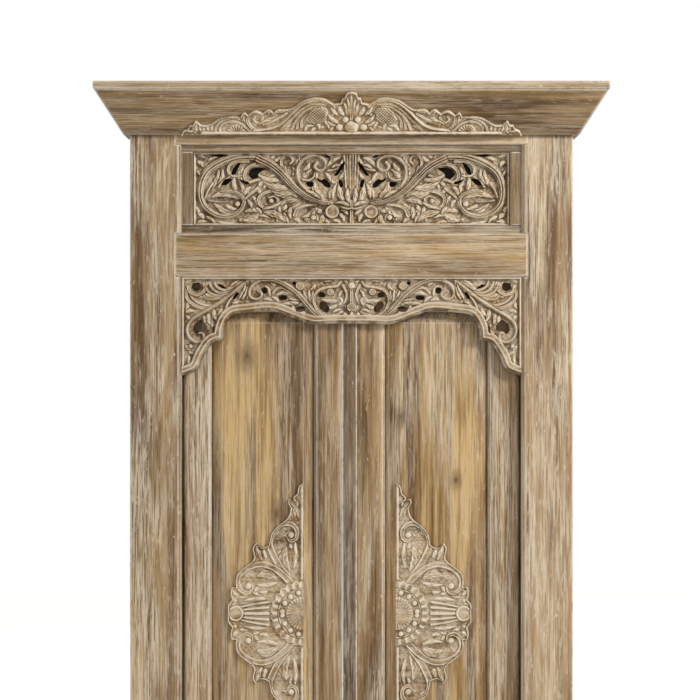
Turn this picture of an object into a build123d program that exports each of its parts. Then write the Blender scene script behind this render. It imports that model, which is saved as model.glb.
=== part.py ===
from build123d import *
import math
import os

os.makedirs("parts", exist_ok=True)

# A carved double door set in its frame, in millimetres.
# The origin is the middle of the threshold's underside, +Z is up and the front faces -Y.

# Carving: how far a scroll turns from one facet to the next, in degrees, and the boards
# that the motifs were drawn for, from which they are spread to the boards as they are
facet_turn = 50.0
fret_drawn_half = 431.0
fret_drawn_half_height = 100.0
lambrequin_drawn_half = 461.0
lambrequin_drawn_drop = 268.0
crest_drawn_half = 458.0
crest_drawn_height = 126.0
medallion_drawn_reach = 205.0
medallion_drawn_half_height = 355.0

# Frame
frame_width = 1200.0
frame_depth = 90.0
jamb_width = 138.0
cap_thickness = 22.0
overall_height = 2400.0
rebate_width = 10.0
rebate_depth = 56.0
jamb_arris = 8.0
housing_depth = 15.0
tenon_length = 62.0
tenon_thickness = 30.0
tenon_shoulder = 14.0
mortise_end_gap = 2.0
threshold_height = 38.0
rail_height = 119.0
rail_underside = 1882.0
head_height = 137.0
member_arris = 3.0

# Cornice
cornice_height = 112.0
cornice_spread = 69.0
cornice_board = 16.0
cap_lip = 3.0
cap_arris = 3.0

# Transom light: four beads, the pierced panel and its dark backing board
bead_setback = 12.0
bead_depth = 30.0
bead_round = 7.0
top_bead_height = 18.0
bottom_bead_height = 22.0
side_bead_width = 31.0
fret_setback = 22.0
fret_ground = 9.0
fret_relief = 8.0
fret_border = 7.0
backing_gap = 12.0
backing_thickness = 6.0

# Lambrequin
lambrequin_setback = 3.0
lambrequin_thickness = 22.0
lambrequin_relief = 6.0
lambrequin_side_gap = 1.0
lambrequin_chamfer = 9.0
lambrequin_margin = 23.0
lambrequin_drop = 268.0

# Crest on the cornice
crest_half = 458.0
crest_height = 126.0
crest_ground = 5.0
crest_relief = 7.0

# Leaves
leaf_thickness = 36.0
leaf_setback = 37.0
jamb_gap = 5.0
head_gap = 4.0
floor_gap = 4.0
meeting_gap = 4.0
meeting_line = -24.0
left_meeting_stile = 75.0
right_meeting_stile = 113.0
left_hinge_stile = 84.0
right_hinge_stile = 94.0
bottom_rail_height = 100.0
top_rail_height = 90.0
leaf_tenon_length = 50.0
leaf_tenon_thickness = 12.0
leaf_tenon_shoulder = 12.0
panel_groove = 9.0
panel_tongue = 8.0
panel_thickness = 22.0
panel_groove_depth = 12.0
panel_end_gap = 1.5
field_margin = 30.0
edge_moulding = 6.0
strip_width = 37.0
strip_thickness = 10.0
strip_round = 6.0

# Wooden pivots
pivot_radius = 12.0
pivot_length = 24.0
pivot_clearance = 0.06
pivot_end_gap = 0.3

# Square pegs through the tenons, driven from the back
peg_size = 12.0
peg_depth = 68.0
peg_play = 0.1
leaf_peg_size = 8.0
leaf_peg_depth = 28.0

# Medallions on the panels
medallion_height_above_floor = 965.0
medallion_relief = 7.0
medallion_ground = 3.0
medallion_inset = 1.0
medallion_half_height = 355.0
medallion_reach = 205.0

# Bolt on the back
bolt_height_above_floor = 1060.0
bolt_bar_height = 30.0
bolt_bar_depth = 18.0
bolt_play = 0.5
bolt_travel = 50.0
guide_width = 22.0
guide_wall = 14.0
guide_edge = 1.0
keeper_width = 36.0
keeper_setback = 20.0
bolt_tail = 12.0
knob_radius = 8.0
knob_length = 26.0

# Planes and places that follow from the sizes above
front = -frame_depth / 2
back = frame_depth / 2
jamb_inner = frame_width / 2 - jamb_width
housing_end = jamb_inner + housing_depth
rebate_inner = jamb_inner + rebate_width
frame_top = overall_height - cap_thickness
rail_top = rail_underside + rail_height
head_underside = frame_top - head_height
leaf_front = front + leaf_setback
leaf_back = leaf_front + leaf_thickness
pivot_y = (leaf_front + leaf_back) / 2
heel_radius = leaf_thickness / 2
pivot_x = rebate_inner - jamb_gap - heel_radius
leaf_bottom = threshold_height + floor_gap
leaf_top = rail_underside - head_gap
panel_bottom = leaf_bottom + bottom_rail_height
panel_top = leaf_top - top_rail_height


def front_plane(y, x=0.0, z=0.0):
    """A drawing plane that faces the viewer, with its own x to the right and y up."""
    return Plane(origin=(x, y, z), x_dir=(1, 0, 0), z_dir=(0, -1, 0))


def block(low, high):
    """A plain squared block between two corners, to be added or cut."""
    size = [b - a for a, b in zip(low, high)]
    centre = [(a + b) / 2 for a, b in zip(low, high)]
    return Pos(*centre) * Box(*size, mode=Mode.PRIVATE)


# Carving: every motif is a stroke, a leaf or a boss, a closed run of points drawn flat.
# Its curves are cut in short straight facets, as a flat chisel leaves them.

def bent(points, facets):
    """Points at even steps along the smooth curve through a few chosen points."""
    route = Spline(*points)
    places = [route @ (step / facets) for step in range(facets + 1)]
    return [(place.X, place.Y) for place in places]


def lobed(lobes):
    """An edge of several curved lobes with a sharp nick between each and the next."""
    return [point for lobe in lobes for point in bent(lobe, 2 * len(lobe) - 3)[:-1]]


def stroke(points, start_width, end_width, facets):
    """A tapering scroll or stem: two edges either side of the curve through the points."""
    route = Spline(*points)
    left, right = [], []
    for step in range(facets + 1):
        share = step / facets
        middle = route @ share
        along = route % share
        half = (start_width + (end_width - start_width) * share) / 2
        left.append((middle.X - along.Y * half, middle.Y + along.X * half))
        right.append((middle.X + along.Y * half, middle.Y - along.X * half))
    return left + right[::-1]


def scroll(eye, start_radius, end_radius, start_angle, turn, start_width, end_width):
    """A volute that winds in towards its eye."""
    facets = max(4, round(abs(turn) / facet_turn))
    points = []
    for step in range(facets + 1):
        share = step / facets
        radius = start_radius * (end_radius / start_radius) ** share
        angle = math.radians(start_angle + turn * share)
        points.append((eye[0] + radius * math.cos(angle), eye[1] + radius * math.sin(angle)))
    return stroke(points, start_width, end_width, facets)


def stem(points, start_width, end_width):
    """A stem along a few points chosen on the carving."""
    return stroke(points, start_width, end_width, len(points))


def leaf(base, tip, left_bow, right_bow):
    """A pointed leaf, bowed by two heights to the left and right of the way to its tip."""
    way = Vector(*tip) - Vector(*base)
    across = Vector(-way.Y, way.X).normalized()
    left = [Vector(*base) + way * share + across * left_bow for share in (0.3, 0.7)]
    right = [Vector(*base) + way * share - across * right_bow for share in (0.7, 0.3)]
    return [(point.X, point.Y) for point in (Vector(*base), *left, Vector(*tip), *right)]


def boss(centre, radius):
    """A boss, berry or eye, cut with as many facets as a full turn of a scroll."""
    sides = round(360 / facet_turn)
    turns = [math.radians(360 * side / sides) for side in range(sides)]
    return [(centre[0] + radius * math.cos(t), centre[1] + radius * math.sin(t)) for t in turns]


def ray(angle, near, far, bow):
    """A leaf that stands out from the carving's middle point, at an angle from its +x."""
    way = (math.cos(math.radians(angle)), math.sin(math.radians(angle)))
    return leaf((near * way[0], near * way[1]), (far * way[0], far * way[1]), bow, bow)


def bar(low, high):
    """A straight fillet between two corners."""
    return [low, (high[0], low[1]), high, (low[0], high[1])]


def carved(shapes, across=1.0, up=1.0, halves=((1, 1), (-1, 1))):
    """The drawn shapes and their mirror images, spread to the size of their board."""
    with BuildSketch(mode=Mode.PRIVATE) as drawn:
        for half_x, half_y in halves:
            for shape in shapes:
                with BuildLine():
                    Polyline(*[(half_x * x * across, half_y * y * up) for x, y in shape], close=True)
                make_face()
    return drawn.sketch


# Frame members

def tenon_block(side, low, high):
    """The tenon of a cross member of the frame, on one side, between two heights."""
    ends = sorted((side * housing_end, side * (housing_end + tenon_length)))
    return block(
        (ends[0], -tenon_thickness / 2, low + tenon_shoulder),
        (ends[1], tenon_thickness / 2, high - tenon_shoulder),
    )


def mortise_block(side, low, high):
    """The mortise that takes the tenon, a little deeper than the tenon is long."""
    ends = sorted((side * housing_end, side * (housing_end + tenon_length + mortise_end_gap)))
    return block(
        (ends[0], -tenon_thickness / 2, low + tenon_shoulder),
        (ends[1], tenon_thickness / 2, high - tenon_shoulder),
    )


cross_members = {
    "threshold": (0.0, threshold_height),
    "transom_rail": (rail_underside, rail_top),
    "frame_head": (head_underside, frame_top),
}
# The threshold is thin, so its ends are housed in the jambs and have no tenon.
tenoned = ["transom_rail", "frame_head"]
peg_x = housing_end + tenon_length / 2
frame_peg_places = []
for member in tenoned:
    member_low, member_high = cross_members[member]
    for peg_share in (0.35, 0.65):
        peg_z = member_low + (member_high - member_low) * peg_share
        frame_peg_places += [(-peg_x, peg_z), (peg_x, peg_z)]


def drill_pegs(places):
    """The holes for the frame's pegs, drilled from the back and stopped short of the front."""
    with BuildSketch(front_plane(back)) as holes:
        with Locations(*places):
            Rectangle(peg_size, peg_size)
    extrude(holes.sketch, amount=peg_depth, mode=Mode.SUBTRACT)


for name, side in (("jamb_left", -1), ("jamb_right", 1)):
    with BuildPart() as jamb:
        inner, outer = side * jamb_inner, side * frame_width / 2
        low_x, high_x = sorted((inner, outer))
        add(block((low_x, front, 0), (high_x, back, frame_top)))
        front_arris = jamb.edges().filter_by(Axis.Z).group_by(Axis.Y)[0]
        chamfer(front_arris.sort_by(Axis.X)[0 if side > 0 else -1], jamb_arris)
        add(block(
            (min(inner, side * rebate_inner), back - rebate_depth, threshold_height),
            (max(inner, side * rebate_inner), back, rail_underside),
        ), mode=Mode.SUBTRACT)
        for low, high in cross_members.values():
            add(block(
                (min(inner, side * housing_end), front, low),
                (max(inner, side * housing_end), back, high),
            ), mode=Mode.SUBTRACT)
        for member in tenoned:
            add(mortise_block(side, *cross_members[member]), mode=Mode.SUBTRACT)
        drill_pegs([place for place in frame_peg_places if place[0] * side > 0])
    jamb.part.label = name
    export_step(jamb.part, f"parts/{name}.step")

for name, (low, high) in cross_members.items():
    with BuildPart() as cross_member:
        add(block((-housing_end, front, low), (housing_end, back, high)))
        chamfer(cross_member.edges().filter_by(Axis.X).group_by(Axis.Y)[0], member_arris)
        if name in tenoned:
            for side in (-1, 1):
                add(tenon_block(side, low, high))
            drill_pegs([place for place in frame_peg_places if low < place[1] < high])
        # The sockets of the leaves' pivots are bored into the rail and the threshold.
        socket_end = {
            "threshold": leaf_bottom - pivot_length - pivot_end_gap,
            "transom_rail": leaf_top + pivot_length + pivot_end_gap,
        }.get(name)
        if socket_end is not None:
            socket_mouth = high if name == "threshold" else low
            with BuildSketch(Plane.XY.offset(socket_mouth)) as sockets:
                with Locations((-pivot_x, pivot_y), (pivot_x, pivot_y)):
                    Circle(pivot_radius + pivot_clearance)
            extrude(amount=socket_end - socket_mouth, mode=Mode.SUBTRACT)
    cross_member.part.label = name
    export_step(cross_member.part, f"parts/{name}.step")

with BuildPart() as frame_pegs:
    with BuildSketch(front_plane(back)):
        with Locations(*frame_peg_places):
            Rectangle(peg_size - peg_play, peg_size - peg_play)
    extrude(amount=peg_depth)
frame_pegs.part.label = "frame_pegs"
export_step(frame_pegs.part, "parts/frame_pegs.step")

# Cornice: a sloping front board and two returns, mitred in plan, under a cap board
cornice_foot = frame_top - cornice_height
foot_reach = cornice_board
top_reach = cornice_board + cornice_spread
mitre_x = frame_width / 2 + foot_reach
mitre_y = front - foot_reach


def slope_section():
    """The cornice board's section, drawn outwards from the frame and up from its foot."""
    with BuildSketch(mode=Mode.PRIVATE) as section:
        with BuildLine():
            Polyline(
                (0, 0),
                (foot_reach, 0),
                (top_reach, cornice_height),
                (top_reach - cornice_board, cornice_height),
                close=True,
            )
        make_face()
    return section.sketch


with BuildPart() as cornice_front:
    with BuildSketch(Plane(origin=(0, front, cornice_foot), x_dir=(0, -1, 0), z_dir=(-1, 0, 0))):
        add(slope_section())
    extrude(amount=frame_width / 2 + top_reach, both=True)
    for side in (-1, 1):
        split(
            bisect_by=Plane(origin=(side * mitre_x, mitre_y, 0), z_dir=(side, 1, 0)),
            keep=Keep.BOTTOM,
        )
cornice_front.part.label = "cornice_front"
export_step(cornice_front.part, "parts/cornice_front.step")

for name, side in (("cornice_return_left", -1), ("cornice_return_right", 1)):
    with BuildPart() as cornice_return:
        with BuildSketch(
            Plane(origin=(side * frame_width / 2, back, cornice_foot), x_dir=(side, 0, 0), z_dir=(0, -side, 0))
        ):
            add(slope_section())
        extrude(amount=side * (frame_depth + top_reach))
        split(
            bisect_by=Plane(origin=(side * mitre_x, mitre_y, 0), z_dir=(side, 1, 0)),
            keep=Keep.TOP,
        )
    cornice_return.part.label = name
    export_step(cornice_return.part, f"parts/{name}.step")

with BuildPart() as cornice_cap:
    cap_reach = top_reach + cap_lip
    add(block(
        (-frame_width / 2 - cap_reach, front - cap_reach, frame_top),
        (frame_width / 2 + cap_reach, back, overall_height),
    ))
    front_arrises = cornice_cap.edges().filter_by(Axis.X).group_by(Axis.Y)[0]
    chamfer(front_arrises + cornice_cap.edges().filter_by(Axis.Y), cap_arris)
cornice_cap.part.label = "cornice_cap"
export_step(cornice_cap.part, "parts/cornice_cap.step")

# Transom light
bead_front = front + bead_setback
fret_low = rail_top + bottom_bead_height
fret_high = head_underside - top_bead_height
fret_half = jamb_inner - side_bead_width
transom_beads = {
    "transom_bead_top": ((-jamb_inner, fret_high), (jamb_inner, head_underside)),
    "transom_bead_bottom": ((-jamb_inner, rail_top), (jamb_inner, fret_low)),
    "transom_bead_left": ((-jamb_inner, fret_low), (-fret_half, fret_high)),
    "transom_bead_right": ((fret_half, fret_low), (jamb_inner, fret_high)),
}
for name, ((low_x, low_z), (high_x, high_z)) in transom_beads.items():
    with BuildPart() as bead:
        add(block((low_x, bead_front, low_z), (high_x, bead_front + bead_depth, high_z)))
        front_edges = bead.faces().sort_by(Axis.Y)[0].edges()
        edge_beside_fret = {
            "transom_bead_top": front_edges.sort_by(Axis.Z)[0],
            "transom_bead_bottom": front_edges.sort_by(Axis.Z)[-1],
            "transom_bead_left": front_edges.sort_by(Axis.X)[-1],
            "transom_bead_right": front_edges.sort_by(Axis.X)[0],
        }[name]
        fillet(edge_beside_fret, bead_round)
    bead.part.label = name
    export_step(bead.part, f"parts/{name}.step")

fret_middle = (fret_low + fret_high) / 2
fret_half_height = (fret_high - fret_low) / 2
fret_face = front + fret_setback
fret_back = fret_face + fret_relief + fret_ground


# The left half of the panel, drawn from its middle point; the right half mirrors it.
fret_openings = [
    leaf((-284, 26), (-222, 58), 14, 16),
    leaf((-320, 38), (-300, 74), 8, 8),
    leaf((-356, 12), (-326, 32), 8, 8),
    leaf((-404, 90), (-356, 92), 5, 5),
    leaf((-122, 6), (-104, 34), 8, 8),
    leaf((-88, 8), (-50, 36), 9, 9),
    leaf((-54, 40), (-22, 72), 8, 8),
    leaf((-84, 88), (-48, 92), 5, 5),
    leaf((-38, 4), (-26, 34), 6, 6),
]
fret_carving = [
    # the great round scroll, which winds in to a half-closed leaf
    scroll((-338, 0), 84, 34, 70, 400, 22, 11),
    leaf((-300, -6), (-384, -14), 24, 6),
    leaf((-386, -26), (-306, -44), 12, 10),
    # the main stem, from the foot of the palmette out and up into the scroll
    stem([(-50, -46), (-112, -30), (-160, 12), (-206, 62), (-262, 88), (-318, 84)], 12, 24),
    stem([(-204, 58), (-252, 66), (-282, 46), (-272, 16)], 12, 10),
    # the round scroll beside the palmette
    scroll((-92, 48), 46, 10, 205, -420, 17, 8),
    stem([(-54, -42), (-92, -18), (-126, 16), (-134, 52)], 8, 15),
    stem([(-58, -42), (-80, -14), (-86, 12)], 9, 6),
    # the low scroll between the two
    scroll((-204, -14), 30, 9, 20, 400, 13, 7),
    stem([(-66, -52), (-128, -42), (-172, -14), (-206, 14)], 8, 12),
    stem([(-74, -58), (-128, -52), (-152, -78), (-146, -92)], 10, 8),
    boss((-51, -64), 15),
    # leaves that break from the stems
    leaf((-144, 12), (-176, 84), 11, 9),
    leaf((-160, 26), (-206, 44), 9, 8),
    leaf((-162, -6), (-176, 26), 10, 6),
    leaf((-248, 28), (-236, -30), 12, 8),
    leaf((-240, -24), (-250, -78), 12, 10),
    leaf((-300, 74), (-312, 30), 10, 5),
    leaf((-252, -64), (-184, -88), 12, 9),
    leaf((-180, -44), (-160, -88), 12, 12),
    leaf((-110, -92), (-84, -52), 10, 8),
    leaf((-420, -96), (-372, -74), 10, 8),
    leaf((-422, 96), (-380, 76), 8, 8),
    leaf((-38, -44), (-16, 0), 7, 5),
    leaf((-50, 92), (-14, 76), 8, 5),
    leaf((-66, 62), (-30, 34), 9, 8),
]
# The fluted palmette and its leaf crown stand on the middle line.
fret_palmette = [
    leaf((0, 96), (0, 2), 11, 11),
    leaf((-3, 94), (-20, 92), 4, 4),
    leaf((0, -48), (0, 4), 14, 14),
    leaf((-4, -48), (-30, -6), 8, 6),
    leaf((0, -52), (-42, -40), 8, 8),
    leaf((0, -98), (0, -50), 9, 9),
]


with BuildPart() as transom_fretwork:
    fret_spread = (fret_half / fret_drawn_half, fret_half_height / fret_drawn_half_height)
    with BuildSketch(front_plane(fret_back, z=fret_middle)):
        Rectangle(2 * fret_half, 2 * fret_half_height)
        add(carved(fret_openings, *fret_spread), mode=Mode.SUBTRACT)
    extrude(amount=fret_ground)
    with BuildSketch(front_plane(fret_back, z=fret_middle)):
        add(carved(fret_carving + fret_palmette, *fret_spread))
        with BuildSketch(mode=Mode.PRIVATE) as fret_edge:
            Rectangle(2 * fret_half, 2 * fret_half_height)
            Rectangle(
                2 * (fret_half - fret_border), 2 * (fret_half_height - fret_border), mode=Mode.SUBTRACT
            )
        add(fret_edge.sketch)
        Rectangle(2 * fret_half, 2 * fret_half_height, mode=Mode.INTERSECT)
    extrude(amount=fret_ground + fret_relief)
transom_fretwork.part.label = "transom_fretwork"
export_step(transom_fretwork.part, "parts/transom_fretwork.step")

# Lambrequin: a scalloped, carved board under the rail, in front of the leaves
lambrequin_face = front + lambrequin_setback
lambrequin_back = lambrequin_face + lambrequin_thickness
lambrequin_half = jamb_inner - lambrequin_side_gap


def lambrequin_outline(inset):
    """The left half of the scalloped board, its lower edge drawn back by an inset."""
    cusp = (-349 - inset * 0.3, -171 + inset)
    wing = [
        (-lambrequin_drawn_half, -lambrequin_drawn_drop + inset * 1.1),
        (-421 - inset * 0.7, -250 + inset * 0.7),
        (-402 - inset, -212 + inset * 0.4),
        (-378 - inset * 0.6, -178 + inset * 0.9),
        cusp,
    ]
    arch = [
        cusp,
        (-346 - inset * 0.8, -138 + inset * 0.4),
        (-326 - inset * 0.4, -104 + inset * 0.9),
        (-286, -96 + inset),
        (-216, -91 + inset),
        (-162, -109 + inset),
        (-108, -127 + inset),
        (0, -126 + inset),
    ]
    return [(0, 0), (-lambrequin_drawn_half, 0), *bent(wing, 5)[:-1], *bent(arch, 9)]


# The left half of the board, drawn from the middle of its top edge: its whole shape, and
# the two edges of the smooth band along its scallops.
lambrequin_board = lambrequin_outline(0)
band_outer_edge = lambrequin_outline(lambrequin_chamfer)
band_inner_edge = lambrequin_outline(lambrequin_margin)
lambrequin_openings = [
    leaf((-440, -44), (-402, -20), 8, 8),
    leaf((-430, -150), (-400, -118), 11, 11),
    leaf((-312, -64), (-296, -44), 5, 5),
    leaf((-238, -46), (-222, -34), 6, 6),
    leaf((-202, -60), (-172, -44), 6, 6),
    leaf((-154, -92), (-126, -82), 6, 6),
    leaf((-92, -72), (-66, -48), 6, 6),
]
lambrequin_carving = [
    # the corner cup and the long stem that runs down the wing into its scroll
    scroll((-421, -28), 25, 18, 190, 260, 8, 6),
    stem([(-292, -10), (-330, -36), (-366, -66), (-404, -92), (-438, -112)], 10, 18),
    scroll((-412, -138), 42, 12, 142, 330, 13, 8),
    leaf((-300, -14), (-366, -14), 10, 8),
    leaf((-306, -20), (-398, -36), 9, 6),
    leaf((-340, -54), (-446, -42), 10, 9),
    leaf((-360, -72), (-450, -78), 9, 9),
    leaf((-350, -58), (-318, -18), 3, 10),
    leaf((-358, -70), (-362, -122), 10, 8),
    leaf((-376, -84), (-392, -136), 9, 7),
    leaf((-446, -172), (-416, -196), 9, 9),
    leaf((-448, -196), (-440, -244), 8, 12),
    # the scroll above the arch and its fan
    scroll((-254, -44), 34, 9, 68, -400, 12, 6),
    leaf((-300, -8), (-312, -62), 7, 6),
    # the stem that falls to the middle, and the leaves along it
    stem([(-262, -10), (-214, -12), (-170, -32), (-128, -72), (-84, -110)], 12, 20),
    leaf((-150, -56), (-212, -48), 8, 8),
    leaf((-134, -72), (-200, -68), 9, 7),
    leaf((-116, -84), (-144, -14), 10, 8),
    leaf((-104, -88), (-116, -20), 9, 9),
    # the open scroll beside the middle
    stem([(-70, -114), (-100, -84), (-98, -40), (-64, -24), (-32, -24)], 14, 8),
    stem([(-32, -24), (-24, -46), (-30, -66)], 7, 6),
    leaf((-24, -64), (-80, -56), 9, 9),
    leaf((-24, -70), (-60, -92), 9, 7),
]
# The column, the bosses and the pendant stand on the middle line.
lambrequin_middle = [
    bar((-5, -74), (5, 0)),
    boss((0, -23), 10),
    boss((0, -80), 12),
    leaf((0, -84), (0, -114), 7, 7),
]

with BuildPart() as lambrequin:
    lambrequin_spread = (lambrequin_half / lambrequin_drawn_half, lambrequin_drop / lambrequin_drawn_drop)
    with BuildSketch(front_plane(lambrequin_back, z=rail_underside)):
        add(carved([lambrequin_board], *lambrequin_spread))
        add(carved(lambrequin_openings, *lambrequin_spread), mode=Mode.SUBTRACT)
    extrude(amount=lambrequin_thickness - lambrequin_relief)
    with BuildSketch(front_plane(lambrequin_back, z=rail_underside)):
        # the smooth band along the scalloped edge, with the carving inside it
        add(carved([band_outer_edge], *lambrequin_spread))
        add(carved([band_inner_edge], *lambrequin_spread), mode=Mode.SUBTRACT)
        add(carved(lambrequin_carving + lambrequin_middle, *lambrequin_spread))
    extrude(amount=lambrequin_thickness)
lambrequin.part.label = "lambrequin"
export_step(lambrequin.part, "parts/lambrequin.step")

# Crest: carved scrolls fixed on the sloping face of the cornice
slope_angle = math.degrees(math.atan2(cornice_spread, cornice_height))
crest_plane = Plane(
    origin=(0, front - foot_reach, cornice_foot), x_dir=(1, 0, 0), z_dir=(0, -1, 0)
).rotated((slope_angle, 0, 0))


# The left half of the crest, drawn from the middle of its foot.
crest_edge = lobed([
    [(-crest_drawn_half, 0), (-452, 13), (-439, 19)],
    [(-439, 19), (-434, 29), (-425, 30)],
    [(-425, 30), (-418, 41), (-407, 31)],
    [(-407, 31), (-384, 31), (-344, 52), (-296, 54)],
    [(-296, 54), (-288, 66), (-278, 59)],
    [(-278, 59), (-258, 71), (-238, 64)],
    [(-238, 64), (-222, 75), (-208, 65)],
    [(-208, 65), (-196, 75), (-163, 77), (-126, 101), (-82, 108), (-47, 90)],
    [(-47, 90), (-36, 93), (-27, 95)],
    [(-27, 95), (-24, 106), (-17, 109)],
    [(-17, 109), (-12, 121), (0, crest_drawn_height)],
])
crest_board = [*crest_edge, (0, crest_drawn_height), (0, 0)]
crest_motifs = [
    # the bead along the foot
    bar((-crest_drawn_half + 50, 0), (0, 9)),
    # the long scroll that rises over the net-carved field
    stem([(-268, 12), (-214, 18), (-164, 56), (-128, 90), (-82, 98), (-44, 82)], 8, 14),
    stem([(-236, 10), (-190, 22), (-150, 58), (-110, 80), (-62, 82)], 5, 6),
    stem([(-176, 12), (-152, 36), (-132, 62), (-104, 70)], 8, 5),
    # the round scroll and the wave beside it
    scroll((-252, 46), 24, 7, 200, -420, 9, 5),
    stem([(-268, 30), (-240, 16), (-206, 14)], 8, 7),
    leaf((-236, 62), (-206, 56), 8, 5),
    leaf((-204, 64), (-164, 58), 8, 9),
    # the ribbed shell and the arch over it
    stem([(-372, 26), (-340, 44), (-306, 48), (-272, 24), (-250, 12)], 7, 9),
    stem([(-364, 10), (-348, 28), (-318, 30), (-288, 12)], 6, 6),
    leaf((-324, 6), (-316, 28), 6, 6),
    leaf((-304, 6), (-298, 24), 5, 5),
    leaf((-290, 40), (-286, 62), 6, 6),
    leaf((-392, 8), (-380, 28), 7, 7),
    # the tail
    leaf((-408, 10), (-418, 38), 8, 8),
    leaf((-424, 8), (-430, 28), 6, 6),
    stem([(-456, 2), (-446, 12), (-420, 12), (-396, 8)], 5, 7),
    # the flowers beside the peak
    leaf((-56, 44), (-40, 84), 9, 9),
    leaf((-66, 20), (-40, 42), 9, 9),
    leaf((-22, 56), (-36, 86), 7, 8),
    boss((-44, 19), 11),
    leaf((-4, 12), (-30, 34), 8, 8),
]
# The lobed palmette stands on the middle line.
crest_peak = [
    leaf((0, 34), (0, crest_drawn_height - 3), 6, 6),
    leaf((-3, 42), (-15, 106), 6, 5),
    leaf((-6, 37), (-25, 90), 6, 5),
    boss((0, 22), 13),
]

with BuildPart() as crest_carving:
    crest_spread = (crest_half / crest_drawn_half, crest_height / crest_drawn_height)
    with BuildSketch(crest_plane):
        add(carved([crest_board], *crest_spread))
    extrude(amount=crest_ground)
    with BuildSketch(crest_plane):
        add(carved(crest_motifs + crest_peak, *crest_spread))
    extrude(amount=crest_ground + crest_relief)
crest_carving.part.label = "crest_carving"
export_step(crest_carving.part, "parts/crest_carving.step")

# Leaves: stile-and-rail frames with a raised panel each, turning on wooden pivots
leaf_sides = {"left": -1, "right": 1}
leaf_edge = rebate_inner - jamb_gap
meeting_edge = {
    "left": meeting_line - meeting_gap / 2,
    "right": meeting_line + meeting_gap / 2,
}
panel_openings = {
    "left": (-leaf_edge + left_hinge_stile, meeting_edge["left"] - left_meeting_stile),
    "right": (meeting_edge["right"] + right_meeting_stile, leaf_edge - right_hinge_stile),
}
rails = {
    "bottom_rail": (leaf_bottom, panel_bottom),
    "top_rail": (panel_top, leaf_top),
}
leaf_peg_x = leaf_tenon_length / 2


def leaf_peg_places(opening, opening_right):
    """Two pegs through each tenon, in both stiles of a leaf."""
    places = []
    for low, high in rails.values():
        for peg_share in (0.3, 0.7):
            peg_z = low + (high - low) * peg_share
            places += [(opening - leaf_peg_x, peg_z), (opening_right + leaf_peg_x, peg_z)]
    return places


def drill_leaf_pegs(places):
    """The holes for a leaf's pegs, drilled from its back."""
    with BuildSketch(front_plane(leaf_back)) as holes:
        with Locations(*places):
            Rectangle(leaf_peg_size, leaf_peg_size)
    extrude(holes.sketch, amount=leaf_peg_depth, mode=Mode.SUBTRACT)


def stile_cuts(edge, into):
    """The panel groove and the rails' mortises in a stile; into is the way they go in, -1 or 1."""
    groove_x = sorted((edge, edge + into * panel_groove_depth))
    mortise_x = sorted((edge, edge + into * (leaf_tenon_length + mortise_end_gap)))
    add(block(
        (groove_x[0], pivot_y - panel_groove / 2, panel_bottom - panel_groove_depth),
        (groove_x[1], pivot_y + panel_groove / 2, panel_top + panel_groove_depth),
    ), mode=Mode.SUBTRACT)
    for low, high in rails.values():
        add(block(
            (mortise_x[0], pivot_y - leaf_tenon_thickness / 2, low + leaf_tenon_shoulder),
            (mortise_x[1], pivot_y + leaf_tenon_thickness / 2, high - leaf_tenon_shoulder),
        ), mode=Mode.SUBTRACT)
    # the moulded arris beside the panel stops at the rails
    with BuildSketch(Plane.XY.offset(panel_bottom)) as arris:
        with BuildLine():
            Polyline(
                (edge, leaf_front),
                (edge + into * edge_moulding, leaf_front),
                (edge, leaf_front + edge_moulding),
                close=True,
            )
        make_face()
    extrude(arris.sketch, amount=panel_top - panel_bottom, mode=Mode.SUBTRACT)


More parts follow.
